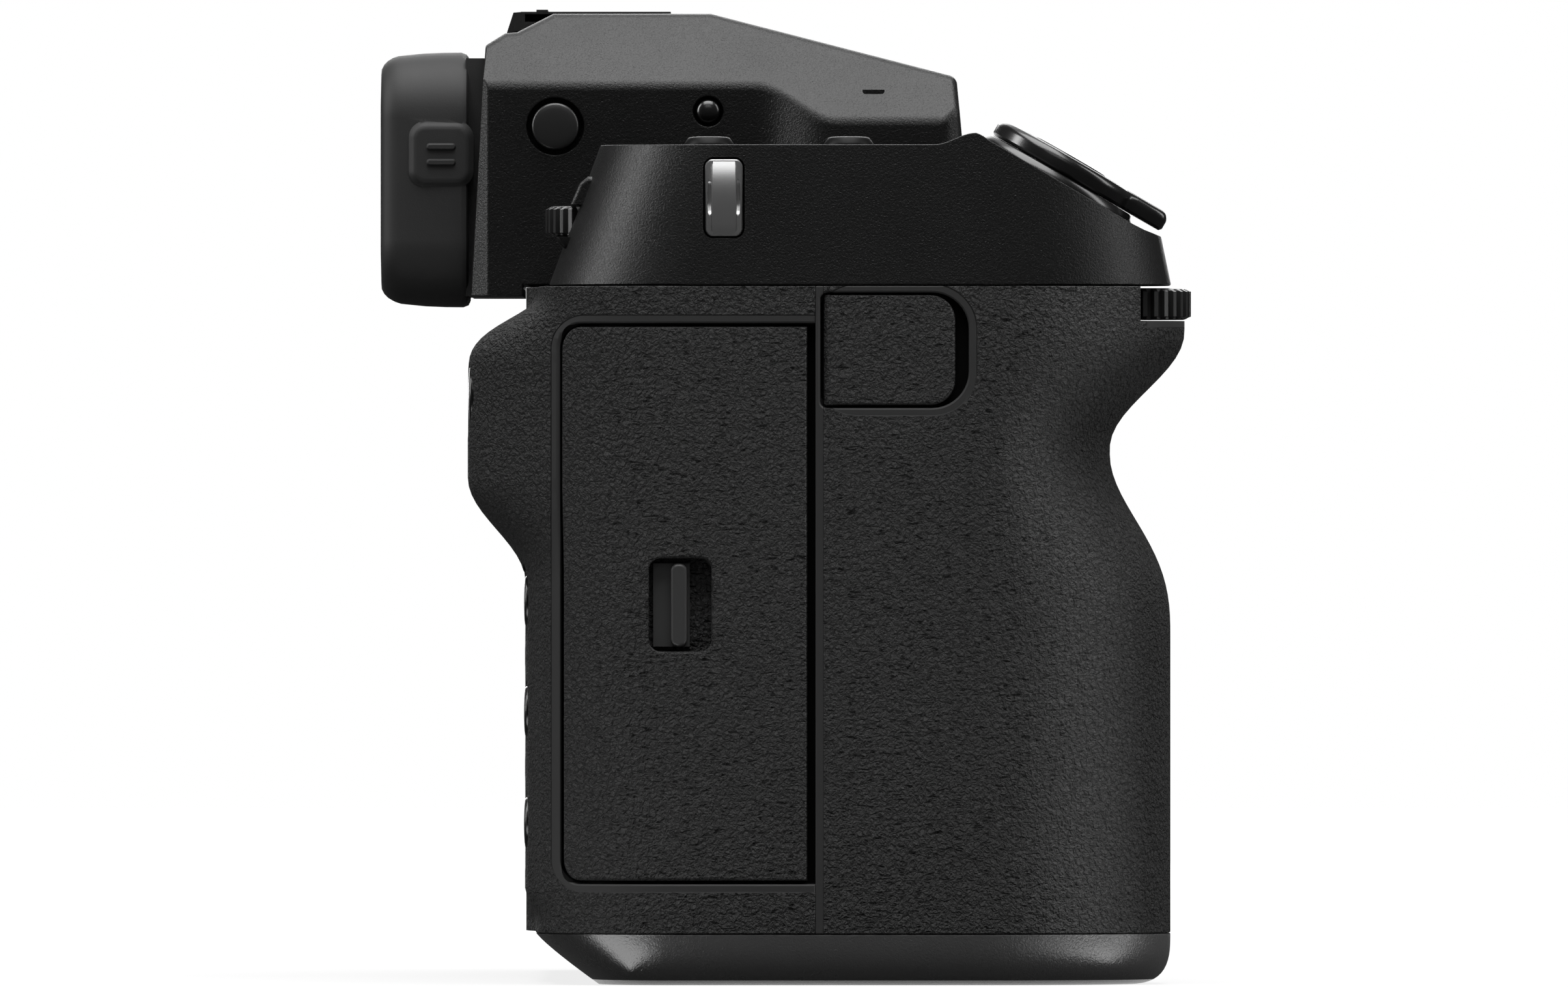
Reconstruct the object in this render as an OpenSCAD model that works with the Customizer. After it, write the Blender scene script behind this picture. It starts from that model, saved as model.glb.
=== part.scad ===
// Medium format digital camera with a removable viewfinder, in millimetres
// X runs to the user's left, Y from the lens side to the rear, Z up
// The origin is the mouth of the tripod socket, below the lens axis, and Y = 0 is the image plane

/* [Body] */
// Distance from the lens axis to the grip side
grip_reach = 84; // [82:0.5:88]
// Distance from the lens axis to the left side
left_reach = 68.4; // [66:0.2:76]
// Width of the leather covered grip block
grip_w = 40; // [39:0.5:42]
// Height of the seam under the top cover
seam_z = 84; // [83:0.5:88]
// Height of the base plate
base_h = 6.2; // [5.8:0.1:7]
// Distance from the image plane to the rear face
rear_reach = 27; // [26.5:0.5:29]
// Distance from the image plane to the front face
face_reach = 20; // [19.5:0.5:22]
// Wall thickness of the shells
wall = 2; // [1.6:0.1:2.4]
// Radius of the rear corner on the grip side
grip_corner = 17; // [16:0.5:18]

/* [Grip] */
// Reach of the grip below its waist
grip_front = 50.8; // [49:0.2:54]
// Depth of the finger waist under the shutter button
waist_depth = 7.3; // [5:0.1:8]
// Height of the waist
waist_z = 63.8; // [62:0.2:66]
// Extra reach of the lip under the front dial
lip_reach = 1.7; // [1:0.1:2]
// Distance from the image plane to the seam between the two grip halves
grip_seam = 8; // [7.5:0.1:8.5]
// How far the thumb rest stands out from the rear face
thumb_rest = 6.9; // [4:0.1:8]

/* [Doors] */
// Thickness of the card door
door_t = 2.2; // [1.8:0.1:2.4]
// Height of the lower edge of the card door
door_z0 = 12.6; // [11.5:0.1:14]
// Height of the upper edge of the card door
door_z1 = 79.1; // [77:0.1:79.4]
// Gap around doors and flaps
door_gap = 0.5; // [0.3:0.05:0.7]
// Thickness of the battery door
battery_door_t = 2.2; // [1.8:0.1:2.6]

/* [Top] */
// Height of the right shoulder above the seam
shoulder_h = 17; // [16:0.5:19]
// Height of the viewfinder platform above the seam
platform_h = 4; // [3.8:0.1:5]
// Height of the left shoulder above the seam
left_h = 10; // [8:0.5:12]
// Tilt of the shutter button towards the front
shutter_tilt = 30; // [28:1:32]
// Outer radius of the power switch ring
switch_r = 9.45; // [8.5:0.05:9.6]
// Radius of the shutter button
shutter_r = 5.2; // [4.4:0.1:5.2]
// Radius of the front and rear dials
dial_r = 8.5; // [8:0.1:8.8]
// Number of ribs around a dial
dial_ribs = 36; // [24:1:40]
// Radius of the mode dial
mode_r = 12; // [10:0.5:13]

/* [Lens mount] */
// Height of the lens axis
lens_z = 45.4; // [45.2:0.1:45.6]
// Radius of the bayonet throat
throat_r = 32.5; // [31:0.5:33]
// Distance from the image plane to the lens flange
flange_reach = 26.7; // [26:0.1:28]
// Thickness of the mount ring
mount_t = 3; // [2.5:0.1:3.4]
// Outer radius of the mount ring
mount_r = 38.2; // [37.8:0.1:38.3]

/* [Viewfinder] */
// Height of the viewfinder housing
evf_h = 29.2; // [28:0.2:31]
// Half width of the housing at the rear
evf_half = 27; // [25:0.2:28]
// Depth of the eyecup
cup_depth = 10.7; // [9:0.1:12]
// Width of the eyecup
cup_w = 46; // [42:0.5:48]
// Height of the eyecup
cup_h = 30.9; // [28:0.1:31]

/* [Screen] */
// Width of the screen panel
screen_w = 82; // [78:0.5:84]
// Height of the screen panel
screen_h = 60; // [58:0.5:61]
// Thickness of the screen panel
screen_t = 4.6; // [4:0.1:5]

/* [Fits] */
// Radial clearance of a running shaft or pin
run_gap = 0.05; // [0.02:0.01:0.09]
// Clearance around a button or between sliding faces
slide_gap = 0.25; // [0.2:0.01:0.3]
// Travel of the small buttons
press = 0.6; // [0.4:0.05:0.7]

/* [Hidden] */
$fn = 64;

// Faces of the body
gx = -grip_reach;
gi = gx + grip_w;
lx = left_reach;
fy = -face_reach;
sy = -grip_seam;
shell_y = 3;
left_rear_r = 8;
left_front_r = 10;
flat_y = rear_reach - grip_corner;
side_flat_y = -27;
well_mouth = 4.5;

// Levels of the top
platform_z = seam_z + platform_h;
top_z = seam_z + shoulder_h;
left_z = seam_z + left_h;
evf_z = platform_z + 0.3;
evf_top = evf_z + evf_h;

// Points on an arc of n steps
function arc(c, r, a0, a1, n = 8) =
    [for (i = [0:n]) c + r * [cos(a0 + (a1 - a0) * i / n), sin(a0 + (a1 - a0) * i / n)]];
// Points on a quarter of an ellipse with radii a and b
function oval(c, a, b, a0, a1, n = 8) =
    [for (i = [0:n]) c + [a * cos(a0 + (a1 - a0) * i / n), b * sin(a0 + (a1 - a0) * i / n)]];
// Outline of a rectangle with round corners
function round_rect(x0, x1, y0, y1, r, n = 5) = concat(
    arc([x1 - r, y1 - r], r, 0, 90, n), arc([x0 + r, y1 - r], r, 90, 180, n),
    arc([x0 + r, y0 + r], r, 180, 270, n), arc([x1 - r, y0 + r], r, 270, 360, n));
// Step that starts and ends level
function ease(s) = (1 - cos(180 * min(1, max(0, s)))) / 2;

// Extrusions along each axis, from one station to the next
module along_x(x0, x1) { translate([x0, 0, 0]) rotate([90, 0, 90]) linear_extrude(x1 - x0) children(); }
module along_y(y0, y1) { translate([0, y1, 0]) rotate([90, 0, 0]) linear_extrude(y1 - y0) children(); }
module along_z(z0, z1) { translate([0, 0, z0]) linear_extrude(z1 - z0) children(); }
// Box between two corners
module block(a, b) { translate(a) cube(b - a); }
// Local Z turned to each side of the body
module to_rear() { rotate([-90, 0, 0]) children(); }
module to_front() { rotate([90, 0, 0]) children(); }
module to_left() { rotate([0, 90, 0]) children(); }
module to_right() { rotate([0, -90, 0]) children(); }

// Closed solid through rings of equal length, stacked from first to last
module loft(rings) {
    m = len(rings[0]);
    k = len(rings);
    polyhedron(
        points = [for (r = rings) each r],
        faces = concat(
            [[for (i = [0:m - 1]) i]],
            [for (j = [0:k - 2], i = [0:m - 1]) [j * m + i, (j + 1) * m + i, (j + 1) * m + (i + 1) % m]],
            [for (j = [0:k - 2], i = [0:m - 1]) [j * m + i, (j + 1) * m + (i + 1) % m, j * m + (i + 1) % m]],
            [[for (i = [0:m - 1]) (k - 1) * m + m - 1 - i]]),
        convexity = 6);
}
// Ring of plan points lifted to height z
function lift(outline, z) = [for (p = outline) [p[0], p[1], z]];

// Round push button along local Z, with its top at z = 0 and a flange at its foot
module push_button(r, length, dish = 0) {
    edge = 0.4;
    flange = 0.5;
    difference() {
        rotate_extrude() polygon([[0, -length], [r - flange / 2, -length], [r, -length + flange],
            [r, -edge], [r - edge, 0], [0, 0]]);
        if (dish > 0) translate([0, 0, r * 2.2 - dish]) sphere(r * 2.2);
    }
}
// Well that a push button of radius r slides in, open at the top
module button_well(r, length) {
    translate([0, 0, -length - press - slide_gap])
        cylinder(r = r + slide_gap, h = length + press + slide_gap + well_mouth);
}

// Reach of the grip at height z: a straight lower part, the finger waist and the lip under the dial
waist_low = waist_z - 21.8;
function grip_reach_at(z) = z < waist_z
    ? grip_front - waist_depth * ease(pow(max(0, (z - waist_low) / (waist_z - waist_low)), 1.35))
    : grip_front - waist_depth + (waist_depth + lip_reach) * ease((z - waist_z - 0.7) / 14);
// Plan of the front grip with its front at reach f
nose_w = 7;
nose_x = gx + grip_corner;
finger_r = grip_w - grip_corner - nose_w;
function front_grip_plan(f) = concat(
    [[gi, sy], [gx, sy]],
    oval([nose_x, side_flat_y], grip_corner, f + side_flat_y, 180, 270, 10),
    arc([nose_x + nose_w, finger_r - f], finger_r, 270, 360, 7));
// Height of the thumb rest above the rear face at height z
function thumb_at(z) = thumb_rest * ease((z - 48.5) / 12.5)
    - (thumb_rest + 1.6) * ease(pow(max(0, (z - 72.6) / 10.4), 1.8))
    - 1.3 * ease((11.6 - z) / 4);
// Share of that height at station x, fading out at both sides
function thumb_blend(x) = ease((x - gx - 4) / 12) * ease((gi - x) / 10);
// Plan of the rear grip at height z
function rear_grip_plan(z) =
    let (base = concat(
        [for (i = [0:5]) [gi + (nose_x - gi) * i / 6, rear_reach]],
        arc([nose_x, flat_y], grip_corner, 90, 180, 14),
        [[gx, sy], [gi, sy]]))
    [for (p = base) p[1] > flat_y ? [p[0], p[1] + thumb_at(z) * thumb_blend(p[0])] : p];

// Battery and its chamber in the grip
battery_x0 = gx + 11;
battery_w = 20.5;
battery_y0 = -35.5;
battery_d = 36;
battery_z0 = battery_door_t + 0.3;
battery_h = 51;
module battery_chamber() {
    block([battery_x0 - slide_gap, battery_y0 - slide_gap, 0],
        [battery_x0 + battery_w + slide_gap, battery_y0 + battery_d + slide_gap, battery_z0 + battery_h + 0.5]);
}

// Front dial under the front edge of the top cover
dial_x = gx + 19;
dial_h = 3.8;
front_dial_y = -44.8;
front_dial_z = seam_z - 0.2 - dial_h;
dial_slot_y = -47.1;
shaft_r = 1.5;
shaft_len = 3;
rear_dial_x = gx + 22;
shoulder_rear = rear_reach - 2.9;
rear_dial_y = shoulder_rear - 8;
rear_dial_z = seam_z + 6.1;
// Knurled dial that stands on z = 0, with its shaft below
module dial(r, h, ribs) {
    rib_w = 2 * PI * r / ribs / 2;
    lip = 0.35;
    core = r - 0.6;
    difference() {
        union() {
            cylinder(r = core, h = h);
            for (i = [0:ribs - 1]) rotate([0, 0, i * 360 / ribs])
                translate([core - 0.4, -rib_w / 2, lip]) cube([r - core + 0.4, rib_w, h - 2 * lip]);
        }
        translate([0, 0, h - 0.4]) cylinder(r = r * 0.55, h = 1);
    }
    translate([0, 0, -shaft_len]) cylinder(r = shaft_r, h = shaft_len + 0.01);
}

// Remote socket and its flap on the grip side
flap_t = 1.6;
flap_r = 3;
flap_y0 = -24.8;
flap_y1 = -9;
flap_z0 = seam_z - 14.3;
flap_z1 = seam_z - 1.1;
flap_axis = [gx + flap_t / 2, flap_y1 - flap_t / 2];
pin_r = 0.5;
jack_r = 4;
jack_depth = 9;
jack_y = -16;
jack_z = (flap_z0 + flap_z1) / 2;
module remote_pocket() {
    pocket_t = flap_t + 0.3;
    finger = 1.6;
    y0 = flap_y0 - finger;
    y1 = flap_y1 + door_gap;
    z0 = flap_z0 - door_gap;
    z1 = flap_z1 + 0.3;
    r = flap_r + finger / 2;
    along_x(gx - 1, gx + pocket_t) polygon(concat([[y1, z1]], arc([y0 + r, z1 - r], r, 90, 180, 6),
        arc([y0 + r, z0 + r], r, 180, 270, 6), [[y1, z0]]));
    for (s = [0, 1]) translate([flap_axis[0], flap_axis[1], s ? flap_z1 : flap_z0 - 1.4])
        cylinder(r = pin_r + run_gap, h = 1.4);
    translate([gx, jack_y, jack_z]) to_left() cylinder(r = jack_r + run_gap, h = pocket_t + jack_depth);
}

module front_grip() color("#2d2d2d") {
    levels = concat([base_h], [for (i = [0:9]) waist_low + (waist_z - waist_low) * i / 9],
        [for (i = [1:7]) waist_z + (seam_z - 4 - waist_z) * i / 7], [seam_z]);
    difference() {
        loft([for (z = levels) lift(front_grip_plan(grip_reach_at(z)), z)]);
        battery_chamber();
        remote_pocket();
        block([gx - 1, -80, front_dial_z - 0.15], [gi + 1, dial_slot_y, seam_z + 1]);
        translate([dial_x, front_dial_y, front_dial_z - 0.15]) {
            cylinder(r = dial_r + 0.4, h = dial_h + 1);
            translate([0, 0, -shaft_len - 0.3]) cylinder(r = shaft_r + run_gap, h = shaft_len + 1);
        }
    }
}

// Card door: a curved band that follows the side wall and the rear corner, hinged at its rear edge
door_y0 = sy + 1;
door_axis_a = 42.8;
door_axis = [nose_x, flat_y] + (grip_corner - door_t / 2) * [-cos(door_axis_a), sin(door_axis_a)];
door_y1 = flat_y + grip_corner * sin(door_axis_a + 4);
// Plan band from the outer wall inwards by t, from y0 round to angle a on the corner
function door_band(t, y0, a, proud = 0) = concat(
    [[gx - proud, y0]],
    [for (p = arc([nose_x, flat_y], grip_corner + proud, 180, 180 - a, 14)) p],
    [for (p = arc([nose_x, flat_y], grip_corner - t, 180 - a, 180, 14)) p],
    [[gx + t, y0]]);
// Side outline of the door, grown by g
function door_outline(g) =
    let (y0 = door_y0 - g, y1 = door_y1 + g, z0 = door_z0 - g, z1 = door_z1 + g, r = 2.6 + g)
    concat([[y0, z0]], arc([y1 - r, z0 + r], r, 270, 360, 6), arc([y1 - r, z1 - r], r, 0, 90, 6), [[y0, z1]]);
barrel_z0 = door_z0 + 4;
barrel_z1 = door_z1 - 4;
module door_pin(extra) {
    translate([door_axis[0], door_axis[1], door_z0 - 1.6]) cylinder(r = pin_r + extra, h = barrel_z0 - door_z0 + 2);
    translate([door_axis[0], door_axis[1], barrel_z1 - 0.4])
        cylinder(r = pin_r + extra, h = door_z1 - barrel_z1 + 2);
}
// Latch recess and the slider in it
latch_y0 = 4.5;
latch_y1 = 12;
latch_z0 = 40.1;
latch_z1 = 51.3;
latch_depth = 2.4;
latch_floor = 1.1;
module latch_recess(grow) {
    along_x(gx - 2, gx + latch_depth)
        polygon(round_rect(latch_y0 - grow, latch_y1 + grow, latch_z0 - grow, latch_z1 + grow, 1.4 + grow));
}

// Card reader behind the door
reader_y0 = battery_y0 + battery_d + 0.9;
reader_y1 = reader_y0 + 11;
reader_z0 = 25;
reader_z1 = 71;
reader_x0 = gx + 4.1;
reader_x1 = gi - 4;
card_slot_depth = 29;

rear_button_x = gx + 18;
rear_button_zs = [46.1, 32.8, 19.4];
rear_button_r = 3.1;
rear_button_len = 2.4;
dish_r = 15;
dish_depth = 1.2;
quick_x = gx + 18;
quick_z = 70.9;
quick_r = 3.5;
quick_y = rear_reach + thumb_rest - 0.2;
stick_x = gi - 8;
stick_z = 43;
stick_well_r = 5.4;
stick_base = rear_reach - 7.5;

module rear_grip() color("#2d2d2d") {
    levels = concat([base_h, 9, 11.6, 48.5], [for (i = [1:5]) 48.5 + 12.5 * i / 5],
        [72.6], [for (i = [1:6]) 72.6 + 10.4 * i / 6], [seam_z]);
    pocket_t = door_t + 0.3;
    difference() {
        loft([for (z = levels) lift(rear_grip_plan(z), z)]);
        battery_chamber();
        intersection() {
            along_z(door_z0 - 2, door_z1 + 2) polygon(door_band(pocket_t, sy - 1, door_axis_a + 7, 6));
            along_x(gx - 8, nose_x + 5) polygon(door_outline(door_gap));
        }
        translate([door_axis[0], door_axis[1], barrel_z0 - 0.4])
            cylinder(r = door_t / 2 + 0.3, h = barrel_z1 - barrel_z0 + 0.8);
        door_pin(run_gap);
        block([gx - 1, latch_y0 - 1.4, latch_z0 - 1.6],
            [gx + latch_depth + latch_floor + 0.3, latch_y1 + 1.6, latch_z1 + 1.6]);
        block([gx - 1, reader_y0 + 0.4, reader_z0 + 0.4], [gx + 10, reader_y1 - 0.4, reader_z1 - 0.4]);
        block([reader_x0 - 0.2, reader_y0 - 0.2, reader_z0 - 0.2],
            [reader_x1 + 0.2, reader_y1 + 0.2, reader_z1 + 0.2]);
        for (z = rear_button_zs) translate([rear_button_x, rear_reach, z]) {
            translate([0, dish_r - dish_depth, 0]) sphere(dish_r);
            to_rear() button_well(rear_button_r, rear_button_len);
        }
        translate([quick_x, quick_y, quick_z]) {
            translate([0, dish_r - 0.8, 0]) sphere(dish_r);
            to_rear() button_well(quick_r, rear_button_len);
        }
        translate([stick_x, stick_base, stick_z]) to_rear() cylinder(r = stick_well_r, h = 12);
    }
}

module card_door() color("#2d2d2d") {
    difference() {
        union() {
            intersection() {
                along_z(door_z0, door_z1) polygon(door_band(door_t, door_y0, door_axis_a + 4));
                along_x(gx - 2, nose_x + 4) polygon(door_outline(0));
                union() {
                    block([gx - 1, door_y0 - 1, 0], [nose_x + 4, door_axis[1] - 1.2, seam_z]);
                    block([gx - 1, door_axis[1] - 1.3, barrel_z0], [door_axis[0], door_axis[1], barrel_z1]);
                }
            }
            translate([door_axis[0], door_axis[1], barrel_z0])
                cylinder(r = door_t / 2, h = barrel_z1 - barrel_z0);
            block([gx + door_t - 0.2, latch_y0 - 1.1, latch_z0 - 1.3],
                [gx + latch_depth + latch_floor, latch_y1 + 1.3, latch_z1 + 1.3]);
        }
        latch_recess(0);
    }
    door_pin(0);
}

module card_door_latch() color("#1a1a1a") {
    bar_y = 7.4;
    bar_w = 2;
    plate_w = 4.4;
    floor_x = gx + latch_depth;
    block([floor_x - 0.7, bar_y - 0.3, latch_z0 + 0.6], [floor_x - 0.05, bar_y + plate_w - 0.3, latch_z1 - 0.6]);
    along_x(gx + 0.2, floor_x - 0.6) polygon(round_rect(bar_y, bar_y + bar_w, latch_z0 + 0.6, latch_z1 - 0.6, 0.9));
}

module remote_cover() color("#2d2d2d") {
    difference() {
        along_x(gx, gx + flap_t) polygon(concat(
            arc([flap_y0 + flap_r, flap_z0 + flap_r], flap_r, 180, 270, 6), [[flap_axis[1], flap_z0]],
            [[flap_axis[1], flap_z1]], arc([flap_y0 + flap_r, flap_z1 - flap_r], flap_r, 90, 180, 6)));
        block([gx + 1, jack_y - 5, jack_z - 4.8], [gx + flap_t + 1, jack_y + 5, jack_z + 4.8]);
    }
    translate([flap_axis[0], flap_axis[1], flap_z0]) cylinder(r = flap_t / 2, h = flap_z1 - flap_z0);
    translate([flap_axis[0], flap_axis[1], flap_z0 - 1.2]) cylinder(r = pin_r, h = flap_z1 - flap_z0 + 2.3);
}

module remote_socket() color("#151515") {
    hole_r = 1.3;
    translate([gx + flap_t + 0.6, jack_y, jack_z]) to_left() difference() {
        cylinder(r = jack_r, h = jack_depth - 0.3);
        translate([0, 0, -1]) cylinder(r = hole_r, h = jack_depth - 1);
    }
}

module card_reader() color("#808488") {
    slots = [[reader_y0 + 1.6, 3.95, 30.2], [reader_y0 + 7.4, 2.4, 24.6]];
    mid = (reader_z0 + reader_z1) / 2;
    difference() {
        block([reader_x0, reader_y0, reader_z0], [reader_x1, reader_y1, reader_z1]);
        for (s = slots) block([reader_x0 - 1, s[0], mid - s[2] / 2],
            [reader_x0 + card_slot_depth, s[0] + s[1], mid + s[2] / 2]);
    }
}

// Plans of the two halves of the base, inset by d at the sides, df at the grip front and dr at the rear
base_tuck = 1.3;
base_lap = 8;
function grip_base_plan(d, df, dr) = concat(
    [[gi, rear_reach - dr]],
    oval([nose_x, flat_y], grip_corner - d, grip_corner - dr, 90, 180, 10),
    oval([nose_x, side_flat_y], grip_corner - d, grip_front + side_flat_y - df, 180, 270, 10),
    oval([nose_x + nose_w, finger_r - grip_front], finger_r - d, finger_r - df, 270, 360, 8));
function body_base_plan(d, dr) = concat(
    [[gi - base_lap, fy + d]],
    arc([lx - left_front_r, fy + left_front_r], left_front_r - d, 270, 360, 6),
    oval([lx - left_rear_r, rear_reach - left_rear_r], left_rear_r - d, left_rear_r - dr, 0, 90, 6),
    [[gi - base_lap, rear_reach - dr]]);

battery_door_x0 = battery_x0 - 2;
battery_door_x1 = battery_x0 + battery_w + 2.7;
battery_door_y0 = battery_y0 - 1.8;
battery_door_y1 = battery_y0 + battery_d + 1.8;
battery_door_corner = 3;
battery_door_r = battery_door_t / 2;
battery_axis = [battery_door_x1 - battery_door_r, battery_door_r];
tripod_r = 2.55;
tripod_insert_r = 5;
tripod_h = base_h + 0.8;
base_screws = [[-36, -10], [36, -12], [54, 4], [-36, 10]];
base_screw_r = 2.2;
mount_screw_angles = [10, 50, 130, 170, 250, 290];
mount_screw_r = 1.3;
mount_screw_pcr = 36;
screw_depth = 1;

module base_plate() color("#202020") {
    shape = [1, 0.94, 0.8, 0.55, 0.28, 0];
    hinge_y0 = battery_door_y0 + battery_door_corner;
    hinge_len = battery_door_y1 - battery_door_corner - hinge_y0;
    difference() {
        union() {
            loft([for (t = shape) let (s = 1 - sqrt(1 - t * t))
                lift(grip_base_plan(4.5 * s, 5.6 * s, base_tuck + 6 * s), base_h * (1 - t))]);
            loft([for (t = shape) let (s = 1 - sqrt(1 - t * t))
                lift(body_base_plan(4.5 * s, base_tuck + 6 * s), base_h * (1 - t))]);
        }
        battery_chamber();
        along_z(-1, battery_door_t + 0.15) polygon(round_rect(battery_door_x0 - 0.3, battery_axis[0],
            battery_door_y0 - 0.3, battery_door_y1 + 0.3, battery_door_corner));
        translate([battery_axis[0], hinge_y0 - 0.3, battery_axis[1]]) to_rear() {
            cylinder(r = battery_door_r + 0.3, h = hinge_len + 0.6);
            translate([0, 0, -1.2]) cylinder(r = pin_r + run_gap, h = hinge_len + 3);
        }
        block([battery_axis[0] - 1, hinge_y0 - 0.3, -1],
            [battery_axis[0] + battery_door_r + 0.3, hinge_y0 + hinge_len + 0.3, battery_axis[1]]);
        translate([0, 0, -1]) cylinder(r = tripod_insert_r, h = base_h + 2);
        for (p = base_screws) translate([p[0], p[1], -1]) cylinder(r = base_screw_r, h = screw_depth + 1);
    }
}

module battery_door() color("#202020") {
    hinge_y0 = battery_door_y0 + battery_door_corner;
    hinge_len = battery_door_y1 - battery_door_corner - hinge_y0;
    along_z(0, battery_door_t) polygon(round_rect(battery_door_x0, battery_axis[0] - battery_door_r - 0.4,
        battery_door_y0, battery_door_y1, battery_door_corner));
    block([battery_axis[0] - 4, hinge_y0, 0], [battery_axis[0], hinge_y0 + hinge_len, battery_door_t]);
    translate([battery_axis[0], hinge_y0, battery_axis[1]]) to_rear() {
        cylinder(r = battery_door_r, h = hinge_len);
        translate([0, 0, -1.3]) cylinder(r = pin_r, h = hinge_len + 2.6);
    }
}

module battery() color("#3a3a3c") {
    along_z(battery_z0, battery_z0 + battery_h)
        polygon(round_rect(battery_x0, battery_x0 + battery_w, battery_y0, battery_y0 + battery_d, 1.5));
}

module tripod_socket() color("#b8b8b8") difference() {
    cylinder(r = tripod_insert_r - run_gap / 2, h = tripod_h);
    translate([0, 0, -1]) cylinder(r = tripod_r, h = 6.5);
}

// Screw head with a cross recess, top at z = 0
module screw_head(r) difference() {
    translate([0, 0, 0.1 - screw_depth]) cylinder(r = r - run_gap, h = screw_depth - 0.2);
    for (a = [0, 90]) rotate([0, 0, a]) translate([-r * 0.6, -r * 0.12, -0.5]) cube([r * 1.2, r * 0.24, 1]);
}
module screws() color("#8a8c90") {
    for (p = base_screws) translate([p[0], p[1], 0]) rotate([180, 0, 0]) screw_head(base_screw_r);
    for (a = mount_screw_angles)
        translate([mount_screw_pcr * cos(a), -flange_reach, lens_z + mount_screw_pcr * sin(a)])
            to_front() screw_head(mount_screw_r);
}

// Lens mount and the parts around it
tower_r = mount_r + 0.2;
ring_back = mount_t - flange_reach;
chamber_r = throat_r + 1.9;
notch_r = throat_r + 1.6;
notch_half = 12;
pin_x = 36;
lock_r = 1.2;
release_x = mount_r + 10.5;
release_z = lens_z - 9;
release_r = 5;
chassis_back = -9.4;
chassis_front = fy + wall;
leaf_h = 18.4;
gate_w = 46;
gate_h = 35;

module front_shell() color("#1f1f1f") {
    plan = concat([[gi, fy]], arc([lx - left_front_r, fy + left_front_r], left_front_r, 270, 360, 8),
        [[lx, shell_y], [gi, shell_y]]);
    inner = concat([[gi + wall, fy + wall]],
        arc([lx - left_front_r, fy + left_front_r], left_front_r - wall, 270, 360, 8),
        [[lx - wall, shell_y + 1], [gi + wall, shell_y + 1]]);
    difference() {
        union() {
            along_z(base_h, seam_z) difference() {
                polygon(plan);
                polygon(inner);
            }
            translate([0, fy + 0.5, lens_z]) to_front() cylinder(r = tower_r, h = ring_back * -1 + fy + 0.5);
        }
        translate([0, fy + wall + 1, lens_z]) to_front() cylinder(r = chamber_r, h = 12);
        translate([pin_x, fy + wall + 1, lens_z]) to_front() cylinder(r = lock_r + run_gap, h = 12);
        translate([release_x, fy + wall + 1, release_z]) to_front() cylinder(r = release_r + slide_gap, h = 12);
    }
}

module mount_ring() color("#c4c6c8") translate([0, ring_back, lens_z]) to_front() difference() {
    cylinder(r = mount_r, h = mount_t, $fn = 128);
    translate([0, 0, -1]) cylinder(r = throat_r, h = mount_t + 2, $fn = 128);
    for (a = [90, 210, 330]) rotate([0, 0, a - notch_half]) translate([0, 0, -1])
        rotate_extrude(angle = 2 * notch_half) translate([throat_r - 2, 0])
            square([notch_r - throat_r + 2, mount_t + 2]);
    for (a = mount_screw_angles) translate([mount_screw_pcr * cos(a), mount_screw_pcr * sin(a), mount_t - screw_depth])
        cylinder(r = mount_screw_r, h = screw_depth + 1);
    translate([pin_x, 0, -1]) cylinder(r = lock_r + run_gap, h = mount_t + 2);
}

module lens_contacts() color("#2a2a2a") {
    half = 24;
    pins = 9;
    inner_r = throat_r - 3.5;
    translate([0, chassis_front, lens_z]) to_front() {
        rotate([0, 0, 270 - half]) rotate_extrude(angle = 2 * half) translate([inner_r, 0])
            square([chamber_r - 0.3 - inner_r, -ring_back + chassis_front - 0.3]);
        for (i = [0:pins - 1]) rotate([0, 0, 270 - half + 2 * half * (i + 0.5) / pins])
            translate([inner_r + 1.4, 0, -ring_back + chassis_front - 0.4]) cylinder(r = 0.7, h = 0.5);
    }
}

module lens_release_button() color("#1a1a1a") translate([release_x, fy - 1.6, release_z])
    to_front() push_button(release_r, 4.4, 0.5);
module lens_lock_pin() color("#d0d0d0") translate([pin_x, -flange_reach - 1.2, lens_z])
    to_rear() cylinder(r = lock_r, h = 7);

module chassis() color("#5a5c60") difference() {
    block([gi + wall + 2, chassis_front, base_h + 1.8], [lx - wall - 2, chassis_back, seam_z - 2]);
    block([-30, chassis_front - 1, lens_z - 25], [30, chassis_back + 1, lens_z + 25]);
    translate([release_x, chassis_front - 1, release_z]) to_rear() cylinder(r = release_r + slide_gap, h = 6);
    block([lx - left_front_r - 1, chassis_front - 1, base_h], [lx, fy + left_front_r, seam_z]);
    translate([pin_x, chassis_front - 1, lens_z]) to_rear() cylinder(r = lock_r + run_gap, h = 5);
}

shutter_half = 39;
shutter_t = 6.2;
shutter_gap = 1.2;
module shutter_frame() color("#303236") difference() {
    block([-shutter_half, chassis_back, base_h + shutter_gap],
        [shutter_half, chassis_back + shutter_t, seam_z - 2 * shutter_gap]);
    block([-gate_w / 2, chassis_back - 1, lens_z - gate_h / 2], [gate_w / 2, chassis_back + 8, lens_z + gate_h / 2]);
    block([-28, chassis_back + 1.5, lens_z - gate_h / 2 - leaf_h - 0.6], [28, chassis_back + 4.7, lens_z + gate_h / 2 + 2]);
}
module shutter_leaf(layer) {
    y0 = chassis_back + 1.8 + layer * 1.3;
    z0 = lens_z - gate_h / 2 - leaf_h - 0.2;
    block([-27.6, y0, z0], [27.6, y0 + 0.8, z0 + leaf_h]);
}
module shutter_leaf_1() color("#26282a") shutter_leaf(0);
module shutter_leaf_2() color("#26282a") shutter_leaf(1);

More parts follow.
